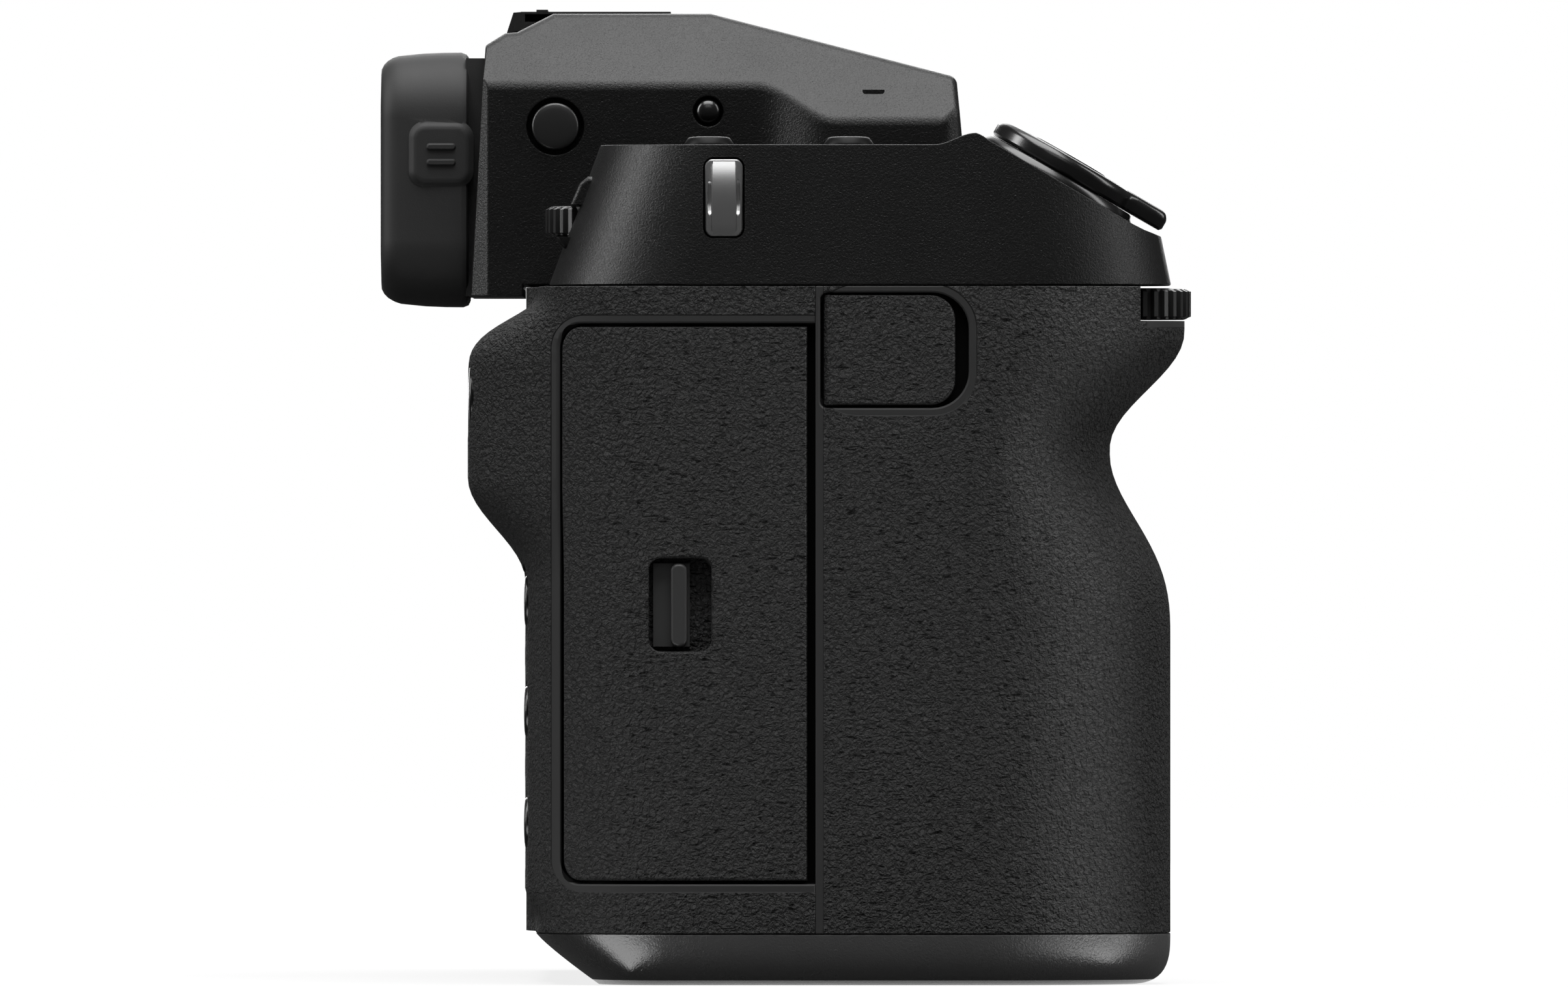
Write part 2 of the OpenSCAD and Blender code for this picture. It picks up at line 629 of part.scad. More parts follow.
sensor_front = chassis_back + shutter_t + 0.3;
sensor_back = 2.4;
module sensor() color("#3b5a58") {
    block([-26, sensor_front + 0.8, lens_z - 21], [26, sensor_back, lens_z + 21]);
    block([-23, sensor_front, lens_z - 17.6], [23, sensor_front + 0.8, lens_z + 17.6]);
}
carrier_half = 33;
carrier_rise = 27;
carrier_t = 2;
module sensor_carrier() color("#85878a") difference() {
    block([-carrier_half, sensor_back + 0.3, lens_z - carrier_rise],
        [carrier_half, sensor_back + 0.3 + carrier_t, lens_z + carrier_rise]);
    block([-18, sensor_back, lens_z - 14], [18, sensor_back + 4, lens_z + 14]);
}

// Rear screen: bracket on a lower hinge, tilt frame on an upper hinge, panel on a side hinge
screen_x0 = 11 - screen_w / 2;
screen_x1 = 11 + screen_w / 2;
screen_drop = 0.5;
screen_z0 = (base_h + seam_z - screen_h) / 2 - screen_drop;
screen_z1 = screen_z0 + screen_h;
screen_face = rear_reach - 0.2;
panel_back = screen_face - screen_t;
leaf_t = 1;
leaf_gap = 0.3;
tilt_back = panel_back - leaf_gap - leaf_t;
bracket_back = tilt_back - leaf_gap - leaf_t;
tray_floor = bracket_back - leaf_gap;
knuckle_r = 0.8;
hinge_y = screen_face - knuckle_r - 0.1;
low_hinge_z = screen_z0 - leaf_gap - knuckle_r;
high_hinge_z = screen_z1 + leaf_gap + knuckle_r;
side_hinge_x = screen_x0 - leaf_gap - knuckle_r;
ear_w = 8;
pin_len = 1.4;
tray_x0 = side_hinge_x - knuckle_r - leaf_gap;
tray_x1 = screen_x1 + leaf_gap + knuckle_r;
tray_z0 = low_hinge_z - knuckle_r - leaf_gap;
swing_gap = 0.7;
tray_z1 = high_hinge_z + knuckle_r + swing_gap;
tray_wall = 1.8;

// Port block and its cover on the left side
port_y0 = 5;
port_y1 = rear_reach - left_rear_r - 1;
port_z0 = 30;
port_z1 = 70;
port_t = 1.8;
port_axis = [lx - port_t / 2, port_y0 + port_t / 2];
port_sockets = [[62, 1.8], [52, 1.8]];
port_slots = [[41, 8.6, 2.8], [34.6, 6, 2.4]];

focus_x = (gi + tray_x0 - tray_wall) / 2;
focus_z = seam_z - 12;
focus_r = 3.4;

module rear_shell() color("#1f1f1f") {
    plan = concat([[gi, shell_y], [lx, shell_y]],
        arc([lx - left_rear_r, rear_reach - left_rear_r], left_rear_r, 0, 90, 8), [[gi, rear_reach]]);
    inner = concat([[gi + wall, shell_y - 1], [lx - wall, shell_y - 1]],
        arc([lx - left_rear_r, rear_reach - left_rear_r], left_rear_r - wall, 0, 90, 8),
        [[gi + wall, rear_reach - wall]]);
    difference() {
        union() {
            along_z(base_h, seam_z) difference() {
                polygon(plan);
                polygon(inner);
            }
            block([tray_x0 - tray_wall, tray_floor - tray_wall, tray_z0 - tray_wall],
                [tray_x1 + tray_wall, rear_reach - 0.5, tray_z1 + tray_wall]);
            block([gi + 1, rear_reach - wall - 4, focus_z - 6], [tray_x0 - 1, rear_reach - 0.5, focus_z + 6]);
        }
        block([tray_x0, tray_floor, tray_z0], [tray_x1, rear_reach + 1, tray_z1]);
        for (x = [tray_x0 - pin_len, tray_x1 - 0.1]) translate([x, hinge_y, low_hinge_z])
            to_left() cylinder(r = pin_r + run_gap, h = pin_len + 0.1);
        along_x(lx - port_t - 0.3, lx + 1)
            polygon(round_rect(port_y0 - 0.3, port_y1 + 0.8, port_z0 - 0.3, port_z1 + 0.3, 0.8));
        block([lx - wall - 1, port_y0 + 2.4, port_z0 + 2], [lx + 1, port_y1 - 1.2, port_z1 - 2]);
        translate([port_axis[0], port_axis[1], port_z0 - 1.4]) cylinder(r = pin_r + run_gap, h = port_z1 - port_z0 + 2.8);
        translate([focus_x, rear_reach + 0.6, focus_z]) to_rear() button_well(focus_r, rear_button_len);
    }
}

module screen_bracket() color("#2b2c2e") {
    block([tray_x0 + leaf_gap, bracket_back, low_hinge_z - knuckle_r],
        [tray_x1 - leaf_gap, bracket_back + leaf_t, high_hinge_z + knuckle_r]);
    difference() {
        union() {
            block([tray_x0 + leaf_gap, bracket_back, low_hinge_z - knuckle_r],
                [tray_x1 - leaf_gap, hinge_y, low_hinge_z + knuckle_r]);
            translate([tray_x0 + leaf_gap, hinge_y, low_hinge_z]) to_left()
                cylinder(r = knuckle_r, h = tray_x1 - tray_x0 - 2 * leaf_gap);
            for (x = [screen_x0, screen_x1 - ear_w]) {
                block([x, bracket_back, high_hinge_z - knuckle_r], [x + ear_w, hinge_y, high_hinge_z + knuckle_r]);
                translate([x, hinge_y, high_hinge_z]) to_left() cylinder(r = knuckle_r, h = ear_w);
            }
        }
        for (x = [screen_x0 + ear_w - 2, screen_x1 - ear_w - 0.1]) translate([x, hinge_y, high_hinge_z])
            to_left() cylinder(r = pin_r + run_gap, h = 2.1);
    }
    translate([tray_x0 + leaf_gap - pin_len, hinge_y, low_hinge_z]) to_left()
        cylinder(r = pin_r, h = tray_x1 - tray_x0 - 2 * leaf_gap + 2 * pin_len);
}

side_z0 = screen_z0 + 9;
side_z1 = screen_z1 - 9;
module screen_tilt_frame() color("#2b2c2e") {
    x0 = screen_x0 + ear_w + 0.3;
    x1 = screen_x1 - ear_w - 0.3;
    difference() {
        union() {
            block([screen_x0, tilt_back, screen_z0 + 1], [screen_x1, tilt_back + leaf_t, screen_z1]);
            block([x0, tilt_back, screen_z1 - 1], [x1, tilt_back + leaf_t, high_hinge_z + knuckle_r]);
            block([x0, tilt_back, high_hinge_z - knuckle_r], [x1, hinge_y, high_hinge_z + knuckle_r]);
            translate([x0, hinge_y, high_hinge_z]) to_left() cylinder(r = knuckle_r, h = x1 - x0);
            translate([x0 - 1.6, hinge_y, high_hinge_z]) to_left() cylinder(r = pin_r, h = x1 - x0 + 3.2);
            block([side_hinge_x - knuckle_r, tilt_back, side_z0], [screen_x0 + 1, tilt_back + leaf_t, side_z1]);
            block([side_hinge_x - knuckle_r, tilt_back, side_z0], [side_hinge_x + knuckle_r, hinge_y, side_z1]);
            translate([side_hinge_x, hinge_y, side_z0]) cylinder(r = knuckle_r, h = side_z1 - side_z0);
        }
        for (z = [side_z0 - 0.1, side_z1 - 2]) translate([side_hinge_x, hinge_y, z])
            cylinder(r = pin_r + run_gap, h = 2.1);
        block([-8, tilt_back - 1, screen_z0 + 14], [30, tilt_back + leaf_t + 1, screen_z1 - 14]);
    }
}

glass_t = 0.9;
glass_rim = 2.2;
module screen_panel() color("#191919") {
    difference() {
        union() {
            along_y(panel_back, screen_face)
                polygon(round_rect(screen_x0, screen_x1, screen_z0, screen_z1, 2.4));
            for (z = [screen_z0 + 2.6, side_z1 + 0.3]) {
                block([side_hinge_x, hinge_y - knuckle_r, z], [screen_x0 + 1, hinge_y + knuckle_r, z + 6]);
                translate([side_hinge_x, hinge_y, z]) cylinder(r = knuckle_r, h = 6);
            }
        }
        along_y(screen_face - glass_t, screen_face + 1) polygon(round_rect(screen_x0 + glass_rim,
            screen_x1 - glass_rim, screen_z0 + glass_rim, screen_z1 - glass_rim, 1.2));
    }
    translate([side_hinge_x, hinge_y, screen_z0 + 8]) cylinder(r = pin_r, h = side_z0 - screen_z0 - 8 + 1.7);
    translate([side_hinge_x, hinge_y, side_z1 - 1.7]) cylinder(r = pin_r, h = 2.6);
}
module screen_glass() color("#0c0e12") along_y(screen_face - glass_t, screen_face - 0.05)
    polygon(round_rect(screen_x0 + glass_rim + 0.1, screen_x1 - glass_rim - 0.1,
        screen_z0 + glass_rim + 0.1, screen_z1 - glass_rim - 0.1, 1.2));

module main_board() color("#1d4a2c") {
    back = tray_floor - tray_wall;
    difference() {
        block([tray_x0 - 1, back - 1.6, tray_z0 - 1], [tray_x1 + 1, back, tray_z1 + 1]);
        block([tray_x0 - 2, back - 2, tray_z0 - 2], [tray_x0 + 12, back + 1, tray_z0 + 10]);
    }
    for (p = [[0, 50], [22, 32], [34, 60]]) block([p[0] - 7, back - 2.8, p[1] - 7], [p[0] + 7, back - 1.6, p[1] + 7]);
}

module port_block() color("#151515") {
    x0 = lx - wall - 0.9 - 6;
    x1 = lx - wall;
    difference() {
        block([x0, port_y0 + 2.6, port_z0 + 2.2], [x1, port_y1 - 1.4, port_z1 - 2.2]);
        for (s = port_sockets) translate([x0 + 1.5, (port_y0 + port_y1) / 2 + 0.5, s[0]])
            to_left() cylinder(r = s[1], h = 10);
        for (s = port_slots) translate([x0 + 1.5, (port_y0 + port_y1) / 2 + 0.5 - s[2] / 2, s[0] - s[1] / 2])
            cube([10, s[2], s[1]]);
    }
}
module port_cover() color("#242424") {
    along_x(lx - port_t, lx) polygon(round_rect(port_axis[1], port_y1, port_z0, port_z1, 0.6));
    translate([port_axis[0], port_axis[1], port_z0]) cylinder(r = port_t / 2, h = port_z1 - port_z0);
    translate([port_axis[0], port_axis[1], port_z0 - 1.3]) cylinder(r = pin_r, h = port_z1 - port_z0 + 2.6);
}

// Buttons on the rear
module rear_button(i) color("#181818") translate([rear_button_x, rear_reach, rear_button_zs[i]])
    to_rear() push_button(rear_button_r, rear_button_len);
module rear_button_upper() rear_button(0);
module rear_button_middle() rear_button(1);
module rear_button_lower() rear_button(2);
module quick_menu_button() color("#181818") translate([quick_x, quick_y, quick_z])
    to_rear() push_button(quick_r, rear_button_len);
module focus_button() color("#181818") translate([focus_x, rear_reach + 0.6, focus_z])
    to_rear() push_button(focus_r, rear_button_len);
module focus_stick() color("#181818") translate([stick_x, stick_base, stick_z]) to_rear() {
    pivot_r = 1.6;
    pivot_w = 5;
    translate([-pivot_w / 2, 0, pivot_r + 0.3]) to_left() cylinder(r = pivot_r, h = pivot_w);
    translate([0, 0, pivot_r]) cylinder(r = 1.1, h = 4);
    translate([0, 0, 5]) difference() {
        cylinder(r = 3.4, h = 2.4);
        translate([0, 0, 6.6]) sphere(5);
    }
}

// Right shoulder of the top cover
shoulder_front = grip_front + 0.1;
shoulder_in = gi + 10;
peak_y = -27.3;
peak_z = top_z + 1.4;
function shoulder_plan(f, rear, d) = concat(
    [[shoulder_in - 2 * d, rear]],
    arc([nose_x, rear - grip_corner + d], grip_corner - d, 90, 180, 12),
    oval([nose_x, side_flat_y], grip_corner - d, f + side_flat_y, 180, 270, 10),
    arc([nose_x + nose_w, finger_r - f], finger_r, 270, 360, 6),
    [[shoulder_in - 2 * d, fy - 4]]);
module right_shoulder() intersection() {
    loft([lift(shoulder_plan(shoulder_front, shoulder_rear, 0), seam_z),
        lift(shoulder_plan(shoulder_front - 3.9, shoulder_rear - 6.9, 1.6), peak_z + 0.5)]);
    along_x(gx - 1, shoulder_in + 1) polygon([[rear_reach, seam_z - 1], [rear_reach, top_z], [-23, top_z],
        [peak_y, peak_z], [-60, peak_z - (60 + peak_y) * tan(shutter_tilt)], [-60, seam_z - 1]]);
}

// Left shoulder
left_in = 34;
function left_plan(d) = round_rect(left_in + d, lx - d, fy + d, rear_reach - 3 - d, 8 - d);
module left_shoulder() loft([lift(left_plan(0), seam_z), lift(left_plan(0.6), left_z - 1.5), lift(left_plan(2), left_z)]);

// Stations of the controls on top
shutter_x = gx + 20;
shutter_y = -37;
shutter_z = peak_z - (peak_y - shutter_y) * tan(shutter_tilt);
base_ring_h = 0.9;
module at_shutter() { translate([shutter_x, shutter_y, shutter_z]) rotate([shutter_tilt, 0, 0]) children(); }
top_button_x = gx + 7.5;
top_button_ys = [4.8, -12];
top_button_r = 3;
top_button_len = 2.6;
top_button_proud = 0.9;
monitor = [gx + 14, gx + 44, -19, 12];
monitor_t = 1.2;
mode_x = 51;
mode_y = -2;
mode_h = 6;
drive_x = 57;
drive_y = rear_reach - 11.5;
drive_r = 3.6;
lug_y = 3;
lug_z = seam_z + 10.6;
lug_w = 4.7;
lug_h = 9.6;
lug_depth = 3.4;
left_lug_z = seam_z + 4.6;
left_lug_h = 6.6;
shoe_y0 = -12;
shoe_y1 = 16;
shoe_half = 11;
shoe_depth = 3;
platform_front = -24;
platform_rear = 20.2;
seam_step = 0.2;

// Boss on the sloping rear of the shoulder, in two parts above and below the rear dial
boss_half = 9;
module dial_boss() along_x(rear_dial_x - boss_half, rear_dial_x + boss_half) {
    slot_z0 = rear_dial_z - 0.15;
    slot_z1 = rear_dial_z + dial_h;
    polygon([[rear_dial_y, seam_z + 13.2], [shoulder_rear - 4.7, seam_z + 13.2], [shoulder_rear - 2.6, slot_z1],
        [rear_dial_y, slot_z1]]);
    polygon([[rear_dial_y, slot_z0], [shoulder_rear - 0.9, slot_z0], [shoulder_rear - 1.8, seam_z + 4.6],
        [rear_dial_y, seam_z + 4.6]]);
}

// Recess of a strap lug, centred on local X and Y and cut along local Z
module lug_recess(h, grow) linear_extrude(20)
    polygon(round_rect(-lug_w / 2 - grow, lug_w / 2 + grow, -h / 2 - grow, h / 2 + grow, 1 + grow));
module at_right_lug() { translate([gx + lug_depth + 0.6, lug_y, lug_z]) rotate([90, 0, -90]) children(); }
module at_left_lug() { translate([lx - lug_depth, lug_y, left_lug_z]) rotate([90, 0, 90]) children(); }

module top_cover() color("#1c1c1c") difference() {
    union() {
        right_shoulder();
        block([shoulder_in - 8, platform_front, seam_z + seam_step], [left_in + 8, platform_rear, platform_z]);
        left_shoulder();
        dial_boss();
    }
    at_shutter() translate([0, 0, -7]) cylinder(r = shutter_r + 0.4, h = 12);
    for (y = top_button_ys) translate([top_button_x, y, top_z + top_button_proud])
        button_well(top_button_r, top_button_len);
    block([monitor[0], monitor[2], top_z - monitor_t], [monitor[1], monitor[3], top_z + 2]);
    translate([rear_dial_x, rear_dial_y, rear_dial_z - 0.15]) {
        cylinder(r = dial_r + 0.4, h = dial_h + 0.3);
        translate([0, 0, -shaft_len - 0.3]) cylinder(r = shaft_r + run_gap, h = shaft_len + 1);
    }
    translate([mode_x, mode_y, left_z - shaft_len - 0.3]) cylinder(r = shaft_r + run_gap, h = 10);
    translate([drive_x, drive_y, left_z + 0.7]) button_well(drive_r, top_button_len);
    at_right_lug() lug_recess(lug_h, 0.15);
    at_left_lug() lug_recess(left_lug_h, 0.15);
    block([-shoe_half - 0.1, shoe_y0 - 0.1, platform_z - shoe_depth], [shoe_half + 0.1, 40, platform_z + 1]);
}

// Strap lug: a plate with a bowed bar across it that the strap passes behind
lug_bow = 0.7;
bow_r = 14;
bar_w = 3.1;
module strap_lug(h) difference() {
    union() {
        intersection() {
            lug_recess(h, 0);
            translate([-lug_h, -lug_h, 0]) cube([2 * lug_h, 2 * lug_h, lug_depth - lug_bow]);
        }
        intersection() {
            lug_recess(h, -lug_bow / 2);
            translate([0, 0, lug_depth - bow_r]) rotate([0, 90, 0]) cylinder(r = bow_r, h = bar_w, center = true, $fn = 180);
        }
    }
    translate([0, 0, 1.4]) cube([10, h - 3, 1], center = true);
}
module strap_lugs() color("#d2d4d6") {
    at_right_lug() strap_lug(lug_h);
    at_left_lug() strap_lug(left_lug_h);
}

module hot_shoe() color("#6a6c70") {
    z0 = platform_z - shoe_depth;
    rail = 1.3;
    lip = 3.6;
    for (s = [-1, 1]) scale([s, 1, 1]) {
        block([shoe_half - rail, shoe_y0, z0], [shoe_half, shoe_y1, platform_z]);
        block([shoe_half - lip, shoe_y0, platform_z - 0.9], [shoe_half - rail + 0.1, shoe_y1, platform_z]);
    }
    block([-shoe_half, shoe_y0, z0], [shoe_half, shoe_y1, z0 + 0.4]);
}

module sub_monitor() color("#0d0f12") block([monitor[0] + 0.1, monitor[2] + 0.1, top_z - monitor_t],
    [monitor[1] - 0.1, monitor[3] - 0.1, top_z - 0.1]);

module shutter_base() color("#141414") at_shutter() difference() {
    cylinder(r1 = switch_r + 0.9, r2 = switch_r + 0.3, h = base_ring_h);
    translate([0, 0, -1]) cylinder(r = shutter_r + 0.4, h = 4);
}
switch_t = 2.3;
tab_reach = 14;
module power_switch() color("#161616") at_shutter() translate([0, 0, base_ring_h + 0.1]) difference() {
    union() {
        rotate_extrude() polygon([[shutter_r + 0.4, 0], [switch_r - 0.3, 0], [switch_r, 0.5], [switch_r, 1.5],
            [switch_r - 0.8, switch_t], [shutter_r + 1.2, switch_t], [shutter_r + 0.4, switch_t - 0.7]]);
        intersection() {
            along_z(0.2, switch_t) polygon([[-5, -6], [5, -6], [2.6, -tab_reach], [-2.6, -tab_reach]]);
            cylinder(r = tab_reach - 0.3, h = 5);
        }
    }
    translate([0, 0, -1]) cylinder(r = shutter_r + 0.4, h = 9);
}
module shutter_button() color("#151515") at_shutter() translate([0, 0, base_ring_h + 2.6])
    push_button(shutter_r, 5, 0.35);

module front_dial() color("#171717") translate([dial_x, front_dial_y, front_dial_z]) dial(dial_r, dial_h, dial_ribs);
module rear_dial() color("#171717") translate([rear_dial_x, rear_dial_y, rear_dial_z])
    dial(dial_r, dial_h - 0.2, dial_ribs);
module top_button_rear() color("#161616") translate([top_button_x, top_button_ys[0], top_z + top_button_proud])
    push_button(top_button_r, top_button_len);
module top_button_front() color("#161616") translate([top_button_x, top_button_ys[1], top_z + top_button_proud])
    push_button(top_button_r, top_button_len);
module mode_dial() color("#171717") translate([mode_x, mode_y, left_z + 0.15]) dial(mode_r, mode_h, 44);
module drive_button() color("#161616") translate([drive_x, drive_y, left_z + 0.7])
    push_button(drive_r, top_button_len, 0.2);

// Removable viewfinder
roof_half = 19;
roof_slope = 8.7 / 8;
front_half = evf_half + 4;
evf_rear = 33.9;
evf_front = -25.9;
bore_half = 15;
bore_z0 = evf_z + 2.2;
bore_z1 = evf_z + 18.7;
cup_z = evf_z + 9.05;
neck_half = 18;
neck_h = 22;
cup_y0 = evf_rear + 0.3;
neck_y0 = 31.6;
view_y = 23.6;
view_z = evf_z + 15.4;
view_r = 2.85;
dome_y = 5;
dome_z = evf_z + 17.2;
dome_r = 1.45;
dioptre_y = 14;
dioptre_z = evf_z + 11;
dioptre_r = 5;
shoe_slot_half = 9.4;
shoe_slot_z = evf_top - 2.1;
shoe_lip = 0.7;
cover_y0 = 9.6;
cover_y1 = 27.4;

function evf_wall(s) = [for (p = concat([[evf_half - 2.6, evf_rear + 0.5], [evf_half, evf_rear - 2.1]],
    [for (i = [0:8]) [evf_half + 4 * ease(i / 8), -0.4 - 10.2 * i / 8]],
    [[front_half, evf_front + 2], [front_half - 2, evf_front - 0.5]])) [s * p[0], p[1]]];
function flip(list) = [for (i = [len(list) - 1:-1:0]) list[i]];

module evf_housing() color("#242424") difference() {
    intersection() {
        along_x(-front_half - 2, front_half + 2) polygon([[evf_rear, evf_z - 5.3], [evf_rear - 1.8, evf_top - 3.9],
            [evf_rear - 4.2, evf_top - 2.4], [evf_rear - 5.7, evf_top - 2.3], [evf_rear - 10.1, evf_top],
            [4.7, evf_top], [evf_front + 0.7, evf_top - 7.8], [evf_front, evf_top - 15.5], [evf_front, evf_z],
            [20.5, evf_z], [20.5, evf_z - 3.9], [rear_reach + 0.5, evf_z - 3.9], [rear_reach + 0.5, evf_z - 5.3]]);
        along_y(evf_front - 2, evf_rear + 2) polygon([[-roof_half, evf_top], [-roof_half - 20, evf_top - 20 * roof_slope],
            [-roof_half - 20, evf_z - 8], [roof_half + 20, evf_z - 8],
            [roof_half + 20, evf_top - 20 * roof_slope], [roof_half, evf_top]]);
        along_z(evf_z - 8, evf_top + 1) polygon(concat(evf_wall(1), flip(evf_wall(-1))));
    }
    block([-bore_half, 4, bore_z0], [bore_half, evf_rear + 1, bore_z1]);
    block([-neck_half - 0.3, neck_y0, cup_z - neck_h / 2 - 0.3], [neck_half + 0.3, evf_rear + 1, cup_z + neck_h / 2 + 0.3]);
    translate([-evf_half - 0.6, view_y, view_z]) to_right() button_well(view_r + 0.35, 2.6);
    for (s = [-1, 1]) translate([s * (evf_half + 0.5), dome_y, dome_z]) rotate([0, s * 90, 0])
        button_well(dome_r + 0.2, 2.6);
    translate([evf_half - 4.3, dioptre_y, dioptre_z]) to_left() cylinder(r = shaft_r + run_gap, h = 6);
    block([-shoe_slot_half, cover_y0 - 0.2, shoe_slot_z], [shoe_slot_half, evf_rear + 1, evf_top - shoe_lip]);
    block([-shoe_slot_half + 2.8, cover_y0 - 0.2, shoe_slot_z], [shoe_slot_half - 2.8, evf_rear + 1, evf_top + 1]);
    for (s = [-1, 1]) translate([s * (front_half - 3), -15.1, evf_top - 9.5]) rotate([0, s * 45, 0])
        cube([1.2, 2.7, 3], center = true);
}

// Eyecup: rounded rings from the viewfinder to the eye, around a tapered window
function cup_ring(d, y) = [for (p = round_rect(-cup_w / 2 + d, cup_w / 2 - d, -cup_h / 2 + d, cup_h / 2 - d, max(2, 8 - d)))
    [p[0], p[1], y]];
function window_ring(w, h, y) = [for (p = round_rect(-w / 2, w / 2, -h / 2, h / 2, 4)) [p[0], p[1], y]];
module evf_eyecup() color("#303030") translate([0, cup_y0, cup_z]) {
    to_rear() difference() {
        loft([cup_ring(0.8, 0), cup_ring(0, 1), cup_ring(0.4, cup_depth - 2.4), cup_ring(1.3, cup_depth - 0.8),
            cup_ring(2.6, cup_depth)]);
        loft([window_ring(27, 15, -1), window_ring(29, 17, 3), window_ring(38, 24, cup_depth + 1)]);
    }
    difference() {
        block([-neck_half, neck_y0 - cup_y0, -neck_h / 2], [neck_half, 0.1, neck_h / 2]);
        block([-13.5, neck_y0 - cup_y0 - 1, -7.5], [13.5, 1, 7.5]);
    }
    for (s = [-1, 1]) scale([s, 1, 1]) {
        along_x(cup_w / 2 - 2, cup_w / 2 + 0.5) polygon(round_rect(-0.2, 6.7, -0.5, 6.5, 1.4));
        for (z = [2, 3.9]) along_x(cup_w / 2, cup_w / 2 + 0.9) polygon(round_rect(1.6, 5, z - 0.35, z + 0.35, 0.3));
    }
}
eyepiece_ball = 42;
eyepiece_t = 6;
eyepiece_y1 = evf_rear - 2.9;
module evf_eyepiece() color("#20262c") intersection() {
    block([-bore_half + 0.3, eyepiece_y1 - eyepiece_t, bore_z0 + 0.3], [bore_half - 0.3, eyepiece_y1, bore_z1 - 0.3]);
    translate([0, eyepiece_y1 - eyepiece_ball, cup_z]) sphere(eyepiece_ball, $fn = 240);
}
module evf_display() color("#101318") block([-bore_half + 0.3, 4.2, bore_z0 + 0.3], [bore_half - 0.3, 7, bore_z1 - 0.3]);
module evf_foot() color("#8c8e92") {
    half = shoe_half - 1.8;
    z0 = platform_z - shoe_depth + 0.6;
    block([-half, shoe_y0 + 1, z0], [half, shoe_y1 - 1, platform_z - 1.1]);
    block([-6.9, shoe_y0 + 1, platform_z - 1.2], [6.9, shoe_y1 - 1, evf_z]);
}
module shoe_cover() color("#1a1a1a") {
    half = shoe_slot_half - 0.3;
    neck = shoe_slot_half - 3.1;
    z1 = evf_top + 0.35;
    block([-half, cover_y0, shoe_slot_z + 0.2], [half, cover_y1, evf_top - shoe_lip - 0.2]);
    block([-neck, cover_y0, evf_top - 1], [neck, cover_y1, evf_top + 0.1]);
    block([-half, cover_y0, evf_top + 0.06], [half, cover_y1 + 0.5, z1]);
    along_x(-half, half) polygon([[cover_y1, shoe_slot_z + 0.2], [cover_y1 + 2.2, shoe_slot_z - 0.1],
        [cover_y1 + 1.4, z1 - 0.1], [cover_y1, z1]]);
    block([-half, cover_y1 - 2.8, z1 - 0.1], [half, cover_y1 - 1.4, z1 + 0.25]);
}
module view_mode_button() color("#121212") translate([-evf_half - 0.6, view_y, view_z]) to_right() push_button(view_r, 2.6);
module dome_button(s) translate([s * (evf_half + 0.5), dome_y, dome_z]) rotate([0, s * 90, 0]) {
    translate([0, 0, -2.6]) cylinder(r = dome_r, h = 2.2);
    intersection() {
        translate([0, 0, -1.6]) sphere(1.6);
        translate([0, 0, -0.5]) cylinder(r = dome_r, h = 2);
    }
}
module evf_release_right() color("#101010") dome_button(-1);
module evf_release_left() color("#101010") dome_button(1);
module dioptre_dial() color("#171717") translate([evf_half + 0.2, dioptre_y, dioptre_z]) to_left() dial(dioptre_r, 2.6, 24);

front_shell();
rear_shell();
top_cover();
base_plate();
front_grip();
rear_grip();
chassis();
mount_ring();
screws();
lens_contacts();
shutter_frame();
shutter_leaf_1();
shutter_leaf_2();
sensor();
sensor_carrier();
main_board();
battery();
battery_door();
card_reader();
card_door();
card_door_latch();
remote_cover();
remote_socket();
port_block();
port_cover();
strap_lugs();
tripod_socket();
hot_shoe();
sub_monitor();
shutter_base();
shutter_button();
power_switch();
front_dial();
rear_dial();
top_button_rear();
top_button_front();
mode_dial();
drive_button();
lens_release_button();
lens_lock_pin();
screen_bracket();
screen_tilt_frame();
screen_panel();
screen_glass();
quick_menu_button();
focus_button();
rear_button_upper();
rear_button_middle();
rear_button_lower();
focus_stick();
evf_housing();
evf_eyecup();
evf_eyepiece();
evf_display();
evf_foot();
shoe_cover();
view_mode_button();
evf_release_right();
evf_release_left();
dioptre_dial();
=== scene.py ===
# %% [markdown]
# # A medium format digital camera
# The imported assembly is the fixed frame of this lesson: sixty parts at their real size, with their joints.
# The looks are built around it. The forms that the eye reads first, such as the leather grip, the doors and
# the viewfinder, are modelled again as smooth meshes in the same place. Parts whose solid is already right
# keep their solid and get rounded edges and a finish.

import math

import bmesh
import bpy
from mathutils import Matrix, Vector


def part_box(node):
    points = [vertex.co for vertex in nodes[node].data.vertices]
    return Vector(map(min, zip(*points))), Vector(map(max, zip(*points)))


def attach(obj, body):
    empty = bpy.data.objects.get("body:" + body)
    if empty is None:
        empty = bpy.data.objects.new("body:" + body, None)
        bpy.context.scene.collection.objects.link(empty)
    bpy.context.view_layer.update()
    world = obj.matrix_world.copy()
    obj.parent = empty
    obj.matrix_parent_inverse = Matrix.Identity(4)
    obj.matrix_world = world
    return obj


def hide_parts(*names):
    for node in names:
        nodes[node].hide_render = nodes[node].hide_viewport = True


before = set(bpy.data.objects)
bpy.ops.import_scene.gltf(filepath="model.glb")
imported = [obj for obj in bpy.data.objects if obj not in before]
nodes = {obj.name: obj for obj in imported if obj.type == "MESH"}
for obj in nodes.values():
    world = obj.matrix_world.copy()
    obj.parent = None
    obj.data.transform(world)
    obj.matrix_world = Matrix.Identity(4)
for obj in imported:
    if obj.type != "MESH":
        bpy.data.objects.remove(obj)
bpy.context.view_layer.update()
scene = bpy.context.scene

